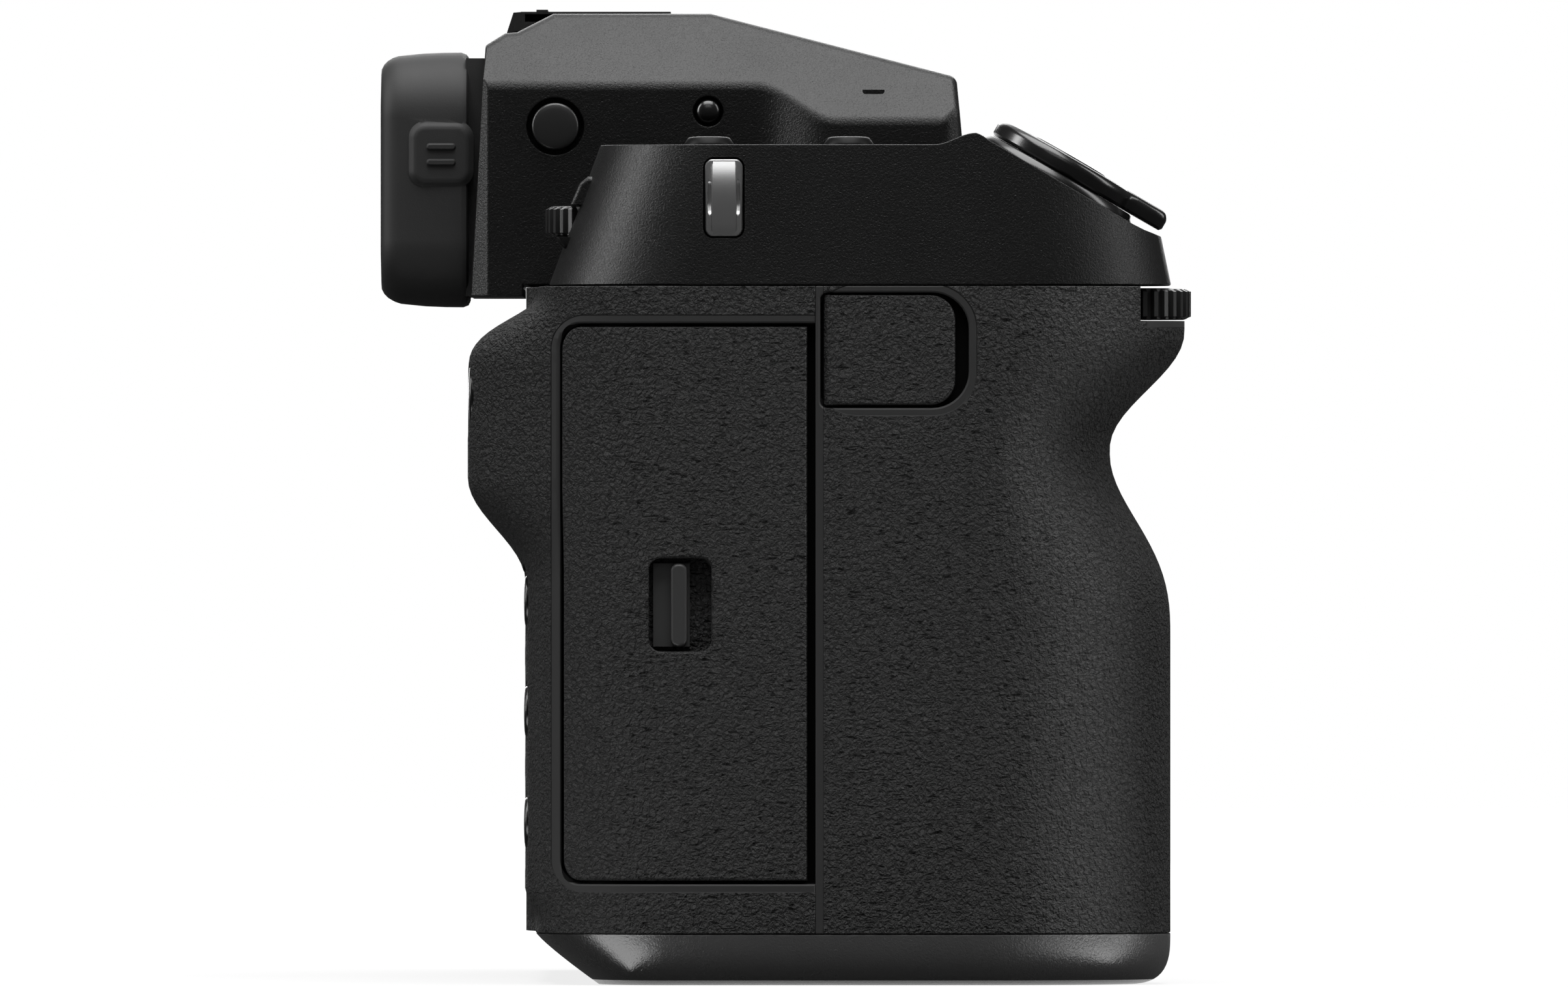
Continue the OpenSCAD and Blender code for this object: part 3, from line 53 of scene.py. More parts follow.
# %% [markdown]
# ## Units and driving sizes
# Everything below is written in millimetres and turned into metres when a mesh is made. The sizes that the
# frame already knows are read from the boxes of its parts, so nothing has to be fitted by eye. Only the
# few values that shape a curve, such as the depth of the finger waist, are written out.

# %% Read the driving sizes from the frame
MM = 0.001


def box_mm(node):
    low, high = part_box(node)
    return low / MM, high / MM


front_lo, front_hi = box_mm("front_grip")
SIDE_X, INNER_X = front_lo.x, front_hi.x
SEAM_Y = front_hi.y
BASE_Z, SEAM_Z = front_lo.z, front_hi.z
LEFT_X = box_mm("rear_shell")[1].x
CORNER = 17
NOSE_W = 7
NOSE_X = SIDE_X + CORNER
FINGER_R = INNER_X - NOSE_X - NOSE_W
SIDE_FLAT_Y = -27
LIP_REACH = 1.7
GRIP_FRONT = -front_lo.y - LIP_REACH
WAIST_DEPTH, WAIST_Z, WAIST_LOW = 7.3, 63.8, 42
THUMB = 6.9
REAR_Y = box_mm("rear_grip")[1].y - THUMB
FLAT_Y = REAR_Y - CORNER
FACE_Y = -20
print("grip side", round(SIDE_X, 2), "front", round(-GRIP_FRONT, 2), "rear", round(REAR_Y, 2))

# %% [markdown]
# ## Camera
# The photograph is a straight side view taken with a long lens, so the picture is nearly without
# perspective. A very long focal length from more than four metres gives that. The width of the picture at
# the grip side and the point in its middle are the two measures that place the camera.

# %% Place the camera
PICTURE_W = 188.3
MIDDLE_Y, MIDDLE_Z = -4.22, 59.08
DISTANCE = 4600
SENSOR_W = 36

camera_data = bpy.data.cameras.new("side_view")
camera_data.sensor_width = SENSOR_W
camera_data.lens = DISTANCE * SENSOR_W / PICTURE_W
camera_data.clip_end = 50
camera = bpy.data.objects.new("side_view", camera_data)
camera.location = Vector((SIDE_X - DISTANCE, MIDDLE_Y, MIDDLE_Z)) * MM
camera.rotation_euler = (math.pi / 2, 0, -math.pi / 2)
scene.collection.objects.link(camera)
scene.camera = camera
print("focal length", round(camera_data.lens))

# %% [markdown]
# ## Node helpers
# Shader trees are written as code here, so a few helpers keep them short: one adds a node and wires its
# inputs by name, one does arithmetic, and one makes a smooth step.

# %% Node helpers
def grey(level):
    """Colour of a grey that is written as it looks on screen, from 0 to 255."""
    value = ((level / 255 + 0.055) / 1.055) ** 2.4
    return (value, value, value, 1)


def put(tree, kind, settings=None, **feeds):
    """Adds a node. feeds sets or wires its inputs by name, or by number as i0, i1."""
    node = tree.nodes.new("ShaderNode" + kind)
    for key, value in (settings or {}).items():
        setattr(node, key, value)
    for key, value in feeds.items():
        by_number = key[0] == "i" and key[1:].isdigit()
        socket = node.inputs[int(key[1:]) if by_number else key.replace("_", " ")]
        if isinstance(value, bpy.types.NodeSocket):
            tree.links.new(value, socket)
        else:
            socket.default_value = value
    return node.outputs


def maths(tree, operation, a, b=0.0):
    return put(tree, "Math", {"operation": operation}, i0=a, i1=b)[0]


def vectors(tree, operation, a, b=(0, 0, 0)):
    """Vector arithmetic; the result is the output Vector or Value."""
    return put(tree, "VectorMath", {"operation": operation}, i0=a, i1=b)


def place_in(tree):
    """Place on the object, in metres."""
    return put(tree, "TexCoord")["Object"]


def hypotenuse(tree, a, b):
    squares = [maths(tree, "POWER", side, 2.0) for side in (a, b)]
    return maths(tree, "SQRT", maths(tree, "ADD", *squares))


def ramp(tree, value, low, high, start=0.0, end=1.0):
    """Smooth step of a value from start at low to end at high."""
    return put(tree, "MapRange", {"interpolation_type": "SMOOTHSTEP"}, Value=value,
               From_Min=low, From_Max=high, To_Min=start, To_Max=end)[0]


def bare_material(name):
    """Material without a shader: gives it, its tree and the socket that takes the surface."""
    material = bpy.data.materials.new(name)
    material.use_nodes = True
    tree = material.node_tree
    tree.nodes.remove(tree.nodes["Principled BSDF"])
    return material, tree, tree.nodes["Material Output"].inputs["Surface"]


# %% [markdown]
# ## Floor, background and light
# A black object on white needs light that draws its edges. A large soft box hangs above, two upright strips
# stand in front of and behind the camera body to draw the rounded corners, and weak panels fill the sides.
# Some lamps only draw highlights and some only lift the dark sides. Dark cards that only reflections see
# stand round the object and lie over the floor, as a product photographer would use them, so that the flat
# black sides don't mirror the white room. Two small bright cards beside the foot draw the highlights of the
# base. The white background is the colour of the world for camera rays, so it costs the object no light.

# %% Light the stage
AMBIENT = 0.06
FLOOR_HALF, FLOOR_GREY = 2500, 0.15
FADE_FROM, FADE_TO, NEAR_GLOW = 0.12, 1.2, 0.82
MIDDLE = (SIDE_X / 4, 0, MIDDLE_Z)

world = bpy.data.worlds.new("studio")
scene.world = world
world.use_nodes = True
scene.view_settings.view_transform = "Standard"


def seen_directly(tree):
    """1 for the rays that should meet a white background: camera, glossy and transmission rays."""
    path = put(tree, "LightPath")
    seen = maths(tree, "MAXIMUM", path["Is Camera Ray"], path["Is Glossy Ray"])
    return maths(tree, "MAXIMUM", seen, path["Is Transmission Ray"])


tree = world.node_tree
backdrop = tree.nodes["Background"].inputs
strength = put(tree, "MapRange", Value=seen_directly(tree), To_Min=AMBIENT)["Result"]
tree.links.new(strength, backdrop["Strength"])
backdrop["Color"].default_value = (1, 1, 1, 1)


def soft_box(name, place, width, height, power, matt=True, gloss=True):
    """Rectangular lamp; without matt it only draws highlights, without gloss it only lifts the dark sides."""
    data = bpy.data.lights.new(name, "AREA")
    data.shape = "RECTANGLE"
    data.size, data.size_y = width * MM, height * MM
    data.energy = power
    lamp = bpy.data.objects.new(name, data)
    lamp.location = Vector(place) * MM
    lamp.rotation_euler = (Vector(MIDDLE) - Vector(place)).to_track_quat("-Z", "Y").to_euler()
    lamp.visible_camera = False
    lamp.visible_diffuse, lamp.visible_glossy = matt, gloss
    scene.collection.objects.link(lamp)


soft_box("top_box", (-220, 0, 1000), 900, 900, 15.0)
soft_box("rear_strip", (-130, 950, 460), 260, 940, 9.0, matt=False)
soft_box("front_strip", (-130, -950, 460), 260, 940, 4.2)
soft_box("rear_fill", (1000, 1000, 400), 700, 700, 5.5, gloss=False)
soft_box("front_fill", (1000, -1000, 400), 700, 700, 5.5, gloss=False)
soft_box("side_fill", (-1300, 0, 1000), 900, 500, 1.8)
soft_box("far_fill", (1300, 0, 500), 900, 900, 7.0)
print("lamps:", len(bpy.data.lights))


def sheet_of(name, corners, material):
    mesh = bpy.data.meshes.new(name)
    mesh.from_pydata([Vector(p) * MM for p in corners], [], [(0, 1, 2, 3)])
    mesh.materials.append(material)
    piece = bpy.data.objects.new(name, mesh)
    scene.collection.objects.link(piece)
    return piece


SQUARE = ((-1, -1), (1, -1), (1, 1), (-1, 1))
pale, tree, surface = bare_material("pale_floor")
reach = vectors(tree, "LENGTH", place_in(tree))["Value"]
fade = put(tree, "MapRange", Value=reach, From_Min=FADE_FROM, From_Max=FADE_TO, To_Min=NEAR_GLOW)["Result"]
matt = put(tree, "BsdfDiffuse", Color=(FLOOR_GREY, FLOOR_GREY, FLOOR_GREY, 1))[0]
glow = put(tree, "Emission", Strength=maths(tree, "MULTIPLY", seen_directly(tree), fade))[0]
tree.links.new(put(tree, "AddShader", i0=matt, i1=glow)[0], surface)
sheet_of("floor", [(a * FLOOR_HALF, b * FLOOR_HALF, 0) for a, b in SQUARE], pale)

# %% Cards that only reflections see
DARK_LEVEL, BRIGHT_LEVEL = 0.06, 3.0
VIEWER_X, BACK_X, SIDE_Y = -2200, 4000, 1100
CARD_TOP, FLOOR_LIFT, BRIGHT_LIFT = 2600, 0.6, 0.9


def card_paper(name, level):
    paper, tree, surface = bare_material(name)
    tree.links.new(put(tree, "Emission", Strength=level)[0], surface)
    return paper


DARK, BRIGHT = card_paper("dark_card", DARK_LEVEL), card_paper("bright_card", BRIGHT_LEVEL)


def card(name, low, high, paper=DARK):
    """Flat card between two corners; one of the three axes has no extent."""
    first, second = [k for k in range(3) if low[k] != high[k]]
    corners = []
    for a, b in SQUARE:
        corner = list(low)
        corner[first] = high[first] if a > 0 else low[first]
        corner[second] = high[second] if b > 0 else low[second]
        corners.append(corner)
    piece = sheet_of(name, corners, paper)
    piece.visible_camera = False
    piece.visible_diffuse = False
    piece.visible_shadow = False
    print("card", name)


card("viewer_card", (VIEWER_X, -SIDE_Y, 0), (VIEWER_X, SIDE_Y, CARD_TOP))
card("floor_card", (VIEWER_X, -SIDE_Y, FLOOR_LIFT), (BACK_X, SIDE_Y, FLOOR_LIFT))
for side in (-1, 1):
    card(f"side_card{side}", (VIEWER_X, side * SIDE_Y, 0), (BACK_X, side * SIDE_Y, CARD_TOP))
card("rear_reflector", (-128, 15, BRIGHT_LIFT), (-82, 80, BRIGHT_LIFT), BRIGHT)
card("front_reflector", (-130, -115, BRIGHT_LIFT), (-80, -47, BRIGHT_LIFT), BRIGHT)

# %% [markdown]
# ## Finishes: shared effects
# Most of the camera is black, so its finishes differ by their grain and their gloss and hardly by colour.
# Four effects are node groups: a moulded grain with pits, the uneven gloss that hands leave, the rubbed edges
# of paint, and the smooth band that frames a door. Each material places them with values of its own, and its
# shader stays in the material.

# %% Start of a node group
def new_group(name, inputs, outputs):
    group = bpy.data.node_groups.new(name, "ShaderNodeTree")
    for label, kind, value in inputs:
        socket = group.interface.new_socket(label, in_out="INPUT", socket_type="NodeSocket" + kind)
        socket.default_value = value
    for label in outputs:
        group.interface.new_socket(label, in_out="OUTPUT", socket_type="NodeSocketFloat")
    start = group.nodes.new("NodeGroupInput")
    end = group.nodes.new("NodeGroupOutput")
    return group, start.outputs, end.inputs


# %% Effect: moulded grain with pits
CREASE_STRETCH, CREASE_DEPTH = (0.5, 0.5, 1.8), 0.3
grain_group, given, out = new_group(
    "moulded_grain", [("Scale", "Float", 2000.0), ("Creases", "Float", 0.0), ("Plain", "Float", 0.0)],
    ["Height", "Pits"])
where = place_in(grain_group)
pebbles = put(grain_group, "TexNoise", Vector=where, Scale=given["Scale"], Detail=2.0, Roughness=0.5,
              Distortion=0.8)[0]
along = vectors(grain_group, "MULTIPLY", where, CREASE_STRETCH)["Vector"]
crease_scale = maths(grain_group, "MULTIPLY", given["Scale"], 0.9)
dashes = put(grain_group, "TexNoise", Vector=along, Scale=crease_scale, Detail=1.0, Roughness=0.5,
             Distortion=0.5)[0]
lines = maths(grain_group, "MULTIPLY", ramp(grain_group, dashes, 0.61, 0.70), given["Creases"])
relief = maths(grain_group, "SUBTRACT", pebbles, maths(grain_group, "MULTIPLY", lines, CREASE_DEPTH))
bare = maths(grain_group, "SUBTRACT", 1.0, given["Plain"])
grain_group.links.new(maths(grain_group, "MULTIPLY", relief, bare), out["Height"])
grain_group.links.new(maths(grain_group, "MULTIPLY", lines, bare), out["Pits"])

# %% Effect: uneven gloss from handling
handling_group, given, out = new_group(
    "handling", [("Roughness", "Float", 0.5), ("Amount", "Float", 0.1)], ["Roughness"])
where = place_in(handling_group)
smears = put(handling_group, "TexNoise", Vector=where, Scale=70.0, Detail=4.0, Roughness=0.65)[0]
change = maths(handling_group, "MULTIPLY", maths(handling_group, "SUBTRACT", smears, 0.5), given["Amount"])
handling_group.links.new(maths(handling_group, "ADD", given["Roughness"], change), out["Roughness"])

# %% Effect: rubbed edges
rub_group, given, out = new_group("rubbed_edges", [("Width", "Float", 0.0003)], ["Rub"])
soft_normal = put(rub_group, "Bevel", {"samples": 4}, Radius=given["Width"])[0]
true_normal = put(rub_group, "NewGeometry")["Normal"]
agree = vectors(rub_group, "DOT_PRODUCT", soft_normal, true_normal)["Value"]
patchy = put(rub_group, "TexNoise", Vector=place_in(rub_group), Scale=900.0, Detail=3.0)[0]
edge = ramp(rub_group, agree, 0.97, 0.80)
rub_group.links.new(maths(rub_group, "MULTIPLY", edge, ramp(rub_group, patchy, 0.40, 0.65)), out["Rub"])

# %% Effect: plain band round an outline on the side of the grip
band_group, given, out = new_group(
    "plain_band", [("Middle", "Vector", (0, 0, 0)), ("Half", "Vector", (0, 0.01, 0.01)),
                   ("Radius", "Float", 0.003), ("Reach", "Float", 0.001)], ["Band"])
away = vectors(band_group, "SUBTRACT", place_in(band_group), given["Middle"])["Vector"]
away = vectors(band_group, "ABSOLUTE", away)["Vector"]
away = vectors(band_group, "SUBTRACT", away, given["Half"])["Vector"]
parts = put(band_group, "SeparateXYZ", Vector=away)
past = [maths(band_group, "MAXIMUM", maths(band_group, "ADD", parts[axis], given["Radius"])) for axis in "YZ"]
outside = maths(band_group, "SUBTRACT", hypotenuse(band_group, *past), given["Radius"])
beyond = maths(band_group, "SUBTRACT", outside, given["Reach"])
band_group.links.new(ramp(band_group, beyond, 0.00012, -0.00004), out["Band"])
print("effects:", [g.name for g in bpy.data.node_groups])

# %% [markdown]
# ## Finishes: the materials
# The grip is covered in a rubbery leather with a fine pebbled grain and short dark pits. The covers are
# painted alloy with a sand-like grain that sparkles where light grazes it. Buttons, dials and the shutter
# lever are smooth and glossy, the eyecup is soft rubber, and the lens mount and strap lugs are bare metal.

# %% Material helpers
finishes = {}


def new_finish(name, level, roughness, metallic=0.0, specular=0.5):
    material = bpy.data.materials.new(name)
    material.use_nodes = True
    shader = material.node_tree.nodes["Principled BSDF"]
    shader.inputs["Base Color"].default_value = grey(level)
    shader.inputs["Roughness"].default_value = roughness
    shader.inputs["Metallic"].default_value = metallic
    shader.inputs["Specular IOR Level"].default_value = specular
    finishes[name] = material
    return material.node_tree, shader


def place_group(tree, group, **feeds):
    return put(tree, "Group", {"node_tree": group}, **feeds)


def bump(tree, shader, height, depth):
    """Relief of the given depth in millimetres on the shader's normal."""
    raised = put(tree, "Bump", Strength=1.0, Distance=depth * MM, Height=height)
    tree.links.new(raised["Normal"], shader.inputs["Normal"])


def tint(tree, shader, mask, level, other):
    """Colour of the shader: one grey, and another where the mask is 1."""
    mixed = put(tree, "MixRGB", i0=mask, i1=grey(level), i2=grey(other))[0]
    tree.links.new(mixed, shader.inputs["Base Color"])


def uneven_gloss(tree, shader, roughness, amount):
    gloss = place_group(tree, handling_group, Roughness=roughness, Amount=amount)
    tree.links.new(gloss["Roughness"], shader.inputs["Roughness"])


def grained(name, level, roughness, scale, depth, uneven, change, rub=0.0, **surface):
    """Finish with a fine grain; change tints its pits, or its rubbed edges where rub gives them a width."""
    tree, shader = new_finish(name, level, roughness, **surface)
    grain = place_group(tree, grain_group, Scale=scale)
    mask = place_group(tree, rub_group, Width=rub)["Rub"] if rub else grain["Pits"]
    tint(tree, shader, mask, level, level + change)
    uneven_gloss(tree, shader, roughness, uneven)
    bump(tree, shader, grain["Height"], depth)


# %% Leather of the grip
# Grey of the grain's pits, also used as painted shade in the door pockets and gaps.
LEATHER_SCALE, LEATHER_LEVEL, PIT_AND_SHADE_LEVEL = 1900.0, 63, 8
LEATHER_ROUGH, LEATHER_DEPTH = 0.6, 1.3
SHEEN, SHEEN_PEAK = 0.1, 0.3
RIM_W = 0.95


def leather(name, bands=None):
    """bands builds two masks: the smooth bands beside seams and doors, and painted shade in the door pockets.
    """
    tree, shader = new_finish(name, LEATHER_LEVEL, LEATHER_ROUGH, specular=SHEEN)
    plain, pocket = bands(tree) if bands else (0.0, 0.0)
    faces = put(tree, "SeparateXYZ", Vector=put(tree, "TexCoord")["Normal"])
    creases = ramp(tree, faces["X"], -0.98, -0.80, 1.0, 0.25)
    grain = place_group(tree, grain_group, Scale=LEATHER_SCALE, Creases=creases, Plain=plain)
    # The pits of the grain are dark, and the leather inside the door pockets is darkened as painted shade.
    tint(tree, shader, maths(tree, "MAXIMUM", grain["Pits"], pocket), LEATHER_LEVEL, PIT_AND_SHADE_LEVEL)
    rise = ramp(tree, faces["Y"], -0.10, -0.40, SHEEN, SHEEN_PEAK)
    fall = ramp(tree, faces["Y"], -0.85, -0.45, 0.0, SHEEN_PEAK)
    tree.links.new(maths(tree, "MINIMUM", rise, fall), shader.inputs["Specular IOR Level"])
    uneven_gloss(tree, shader, LEATHER_ROUGH, 0.16)
    bump(tree, shader, grain["Height"], LEATHER_DEPTH)


# %% Painted alloy with a sand grain
def sand_paint(name, level, roughness, scale, depth, specular=0.32):
    grained(name, level, roughness, scale, depth, uneven=0.12, change=26, rub=0.0004, specular=specular)


# Name, grey on screen, roughness, scale of the grain, and its depth in millimetres.
sand_paint("fine_grain_paint", 13, 0.40, 4200.0, 0.06)
sand_paint("body_paint", 28, 0.44, 3600.0, 0.045)
sand_paint("base_paint", 70, 0.28, 3600.0, 0.05, specular=1.0)


# %% Smooth plastics, rubber and glass
def smooth_black(name, level, roughness, specular, uneven, scale, depth):
    grained(name, level, roughness, scale, depth, uneven, change=-5, specular=specular)


# Name, grey, roughness, specular level, unevenness of the gloss, scale and depth of the grain.
smooth_black("gloss_black", 17, 0.24, 0.6, 0.12, 6000.0, 0.003)
smooth_black("button_black", 9, 0.45, 0.12, 0.1, 6000.0, 0.006)
smooth_black("dial_black", 34, 0.36, 0.5, 0.1, 6000.0, 0.004)
smooth_black("latch_black", 66, 0.4, 0.4, 0.1, 6000.0, 0.006)
smooth_black("matte_black", 20, 0.6, 0.35, 0.1, 4500.0, 0.02)
smooth_black("soft_rubber", 48, 0.6, 0.3, 0.14, 5500.0, 0.012)
smooth_black("dark_glass", 9, 0.07, 0.65, 0.05, 9000.0, 0.0004)


# %% Metals
def metal(name, level, roughness, scale, depth):
    grained(name, level, roughness, scale, depth, uneven=0.1, change=-18, metallic=1.0)


metal("bright_steel", 205, 0.13, 7000.0, 0.001)
metal("lug_steel", 232, 0.27, 7000.0, 0.001)
metal("bare_alloy", 150, 0.42, 2600.0, 0.02)
metal("contact_gold", 190, 0.2, 7000.0, 0.001)
warm = finishes["contact_gold"].node_tree
shader = warm.nodes["Principled BSDF"]
paint = shader.inputs["Base Color"].links[0].from_socket
golden = put(warm, "MixRGB", {"blend_type": "MULTIPLY"}, i0=1.0, i1=paint, i2=(1.0, 0.72, 0.32, 1))[0]
warm.links.new(golden, shader.inputs["Base Color"])

# %% Turned steel of the lens mount
AXIS_Z = 45.4
tree, shader = new_finish("mount_steel", 190, 0.24, metallic=1.0)
spot = put(tree, "SeparateXYZ", Vector=place_in(tree))
radius = hypotenuse(tree, spot["X"], maths(tree, "SUBTRACT", spot["Z"], AXIS_Z * MM))
turned = put(tree, "TexNoise", {"noise_dimensions": "1D"}, W=radius, Scale=9000.0, Detail=3.0)[0]
tint(tree, shader, ramp(tree, turned, 0.3, 0.7), 182, 205)
uneven_gloss(tree, shader, 0.25, 0.12)
bump(tree, shader, turned, 0.006)

# %% Circuit board and sensor
tree, shader = new_finish("circuit_board", 60, 0.45)
tracks = put(tree, "TexBrick", Vector=place_in(tree), Scale=220.0, Color1=(0.01, 0.09, 0.03, 1),
             Color2=(0.015, 0.12, 0.04, 1), Mortar=(0.03, 0.2, 0.07, 1))
tree.links.new(tracks["Color"], shader.inputs["Base Color"])
bump(tree, shader, tracks[1], 0.05)

tree, shader = new_finish("sensor_glass", 30, 0.08, specular=0.6)
sheen = put(tree, "TexNoise", Vector=place_in(tree), Scale=30.0, Detail=1.0)[0]
hues = put(tree, "MixRGB", i0=sheen, i1=(0.03, 0.075, 0.07, 1), i2=(0.05, 0.04, 0.085, 1))[0]
tree.links.new(hues, shader.inputs["Base Color"])
uneven_gloss(tree, shader, 0.08, 0.05)
print("finishes:", len(finishes))

# %% [markdown]
# ## Modelling helpers
# The covers of a camera are cast or moulded shells: a plan that changes with height, openings with softened
# mouths, and a small radius on every edge. A loft through plan outlines gives the form, an exact boolean cuts
# the openings, and a bevel on chosen edges gives the radius. The results are plain meshes.

# %% Outlines and solids
MERGE_REACH = 0.001


def ease(share):
    """Step that starts and ends level."""
    return (1 - math.cos(math.pi * min(1.0, max(0.0, share)))) / 2


def arc(middle, radii, start, end, steps):
    """Points on part of an oval; radii is one radius or a pair, angles are in degrees."""
    wide, deep = radii if isinstance(radii, tuple) else (radii, radii)
    turns = [math.radians(start + (end - start) * i / steps) for i in range(steps + 1)]
    return [(middle[0] + wide * math.cos(t), middle[1] + deep * math.sin(t)) for t in turns]


def rounded(a0, a1, b0, b1, radius, steps=6):
    """Outline of a rectangle with round corners."""
    r = max(0.02, radius)
    centres = [(a1 - r, b1 - r, 0), (a0 + r, b1 - r, 90), (a0 + r, b0 + r, 180), (a1 - r, b0 + r, 270)]
    return [p for a, b, turn in centres for p in arc((a, b), r, turn, turn + 90, steps)]


def grown(box, radius, grow, steps=6):
    """Outline of a round rectangle (a0, a1, b0, b1) that is made larger by a margin."""
    a0, a1, b0, b1 = box
    return rounded(a0 - grow, a1 + grow, b0 - grow, b1 + grow, radius + grow, steps)


def edit(piece, work_on):
    """Runs a function on the piece's mesh as a bmesh."""
    work = bmesh.new()
    work.from_mesh(piece.data)
    work_on(work)
    work.to_mesh(piece.data)
    work.free()


def clean(work):
    bmesh.ops.remove_doubles(work, verts=work.verts, dist=MERGE_REACH * MM)
    bmesh.ops.recalc_face_normals(work, faces=work.faces)


def make(name, points, faces):
    """Mesh object from points in millimetres."""
    mesh = bpy.data.meshes.new(name)
    mesh.from_pydata([Vector(p) * MM for p in points], [], faces)
    piece = bpy.data.objects.new(name, mesh)
    scene.collection.objects.link(piece)
    edit(piece, clean)
    return piece


def loft(name, rings):
    """Closed solid through rings of equal length, with flat ends."""
    size = len(rings[0])
    points = [p for ring in rings for p in ring]
    faces = [tuple(range(size)), tuple(range(len(points) - size, len(points)))]
    for first in range(0, len(points) - size, size):
        for k in range(size):
            here, after = first + k, first + (k + 1) % size
            faces.append((here, after, after + size, here + size))
    return make(name, points, faces)


def stack(name, layers):
    """Solid through plans at several heights; layers are (height, plan) pairs."""
    return loft(name, [[(x, y, z) for x, y in plan] for z, plan in layers])


TURN_TO = {"x": lambda a, b, t: (t, a, b), "y": lambda a, b, t: (a, t, b), "z": lambda a, b, t: (a, b, t)}


def prism(name, outline, axis, start, end):
    """Straight solid along an axis: the outline is in the two other axes, in their order."""
    return loft(name, [[TURN_TO[axis](a, b, t) for a, b in outline] for t in (start, end)])


def brick(name, low, high):
    (x0, y0, z0), (x1, y1, z1) = low, high
    return prism(name, [(x0, y0), (x1, y0), (x1, y1), (x0, y1)], "z", z0, z1)


def lathe(name, profile, steps=64):
    """Turned solid about local Z through (radius, height) points, from the foot to the top."""
    turns = [2 * math.pi * k / steps for k in range(steps)]
    return loft(name, [[(r * math.cos(t), r * math.sin(t), h) for t in turns] for r, h in profile])


def rod(name, radius, low, high, steps=64):
    return lathe(name, [(radius, low), (radius, high)], steps)


def move(piece, place, turn=None):
    """Turns a mesh by a rotation matrix and puts its origin at a place, in the mesh itself."""
    step = Matrix.Translation(Vector(place) * MM)
    piece.data.transform(step @ turn.to_4x4() if turn else step)
    return piece


TURNS = (("right", -90, "Y"), ("left", 90, "Y"), ("rear", -90, "X"), ("front", 90, "X"), ("up", 0, "Z"))
FACING = {way: Matrix.Rotation(math.radians(turn), 3, axis) for way, turn, axis in TURNS}


# %% Cutting, joining and rounding
FLAT_ANGLE = math.radians(0.2)


def split_faces(work):
    bmesh.ops.triangulate(work, faces=work.faces)


def merge_faces(work):
    bmesh.ops.dissolve_limit(work, angle_limit=FLAT_ANGLE, verts=work.verts, edges=work.edges)


def combine(piece, tool, how="DIFFERENCE"):
    """Exact boolean on the mesh, which uses the tool up. Bent faces are split first and merged after."""
    edit(piece, split_faces)
    edit(tool, split_faces)
    step = piece.modifiers.new(how.lower(), "BOOLEAN")
    step.operation = how
    step.solver = "EXACT"
    step.object = tool
    graph = bpy.context.evaluated_depsgraph_get()
    mesh = bpy.data.meshes.new_from_object(piece.evaluated_get(graph))
    piece.modifiers.clear()
    spent = [piece.data, tool.data]
    piece.data = mesh
    bpy.data.objects.remove(tool)
    for old in spent:
        bpy.data.meshes.remove(old)
    edit(piece, merge_faces)
    return piece


def cut(piece, *tools):
    for tool in tools:
        combine(piece, tool)
    return piece


def join(piece, *tools):
    for tool in tools:
        combine(piece, tool, "UNION")
    return piece


def round_edges(piece, width, sharper=30.0, where=None, steps=3):
    """Bevels the edges that turn by more than an angle; where picks them by their middle in millimetres."""
    def is_chosen(edge):
        if not edge.is_manifold or edge.calc_face_angle(0.0) < math.radians(sharper):
            return False
        return where is None or where((edge.verts[0].co + edge.verts[1].co) / 2 / MM)

    def bevel(work):
        chosen = [edge for edge in work.edges if is_chosen(edge)]
        bmesh.ops.bevel(work, geom=chosen, offset=width * MM, offset_type="OFFSET", segments=steps,
                        profile=0.5, affect="EDGES", clamp_overlap=True)

    edit(piece, bevel)
    return piece


def even_normals(piece):
    even = piece.modifiers.new("even_normals", "WEIGHTED_NORMAL")
    even.keep_sharp = True


def finish_piece(piece, finish, body, slot, *stands_for, sharp=38.0):
    """Gives a piece its finish and smooth shading, parents it to its body and hides the nodes it stands for.
    """
    piece.data.materials.clear()
    piece.data.materials.append(finishes[finish])
    for face in piece.data.polygons:
        face.material_index = 0
    piece.data.shade_smooth()
    piece.data.set_sharp_from_angle(angle=math.radians(sharp))
    even_normals(piece)
    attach(piece, body)
    if stands_for:
        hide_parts(*stands_for)
    print("made", piece.name, len(piece.data.polygons), "faces")
    return piece


# %% [markdown]
# ## Leather grip
# The grip is two leather covered castings that meet in an upright seam: a front half with a waist for the
# fingers and a rear half with a rest for the thumb. A subdivision cage would also give these curves, but a
# loft through plans keeps the straight side wall flat and lets the doors follow the wall exactly. The same
# three functions of height that shape the solid are used here, with finer steps.

# %% Curves of the grip
BEND, LIP_START, LIP_RUN = 1.35, 0.7, 14
THUMB_FOOT, THUMB_FULL, THUMB_BROW, THUMB_END = 48.5, 61, 72.6, 83
SINK, BROW_BEND = 1.6, 1.8
TUCK_Z, TUCK_RUN, TUCK_IN = 11.6, 4, 1.3


def grip_reach(z):
    """Reach of the grip towards the front: straight below, the finger waist, and the lip under the dial."""
    if z < WAIST_Z:
        share = max(0.0, (z - WAIST_LOW) / (WAIST_Z - WAIST_LOW))
        return GRIP_FRONT - WAIST_DEPTH * ease(share ** BEND)
    return GRIP_FRONT - WAIST_DEPTH + (WAIST_DEPTH + LIP_REACH) * ease((z - WAIST_Z - LIP_START) / LIP_RUN)


def thumb_rise(z):
    """How far the thumb rest stands out from the rear face at a height."""
    rise = THUMB * ease((z - THUMB_FOOT) / (THUMB_FULL - THUMB_FOOT))
    fall = max(0.0, (z - THUMB_BROW) / (THUMB_END - THUMB_BROW)) ** BROW_BEND
    return rise - (THUMB + SINK) * ease(fall) - TUCK_IN * ease((TUCK_Z - z) / TUCK_RUN)


def thumb_share(x):
    return ease((x - SIDE_X - 4) / 12) * ease((INNER_X - x) / 10)


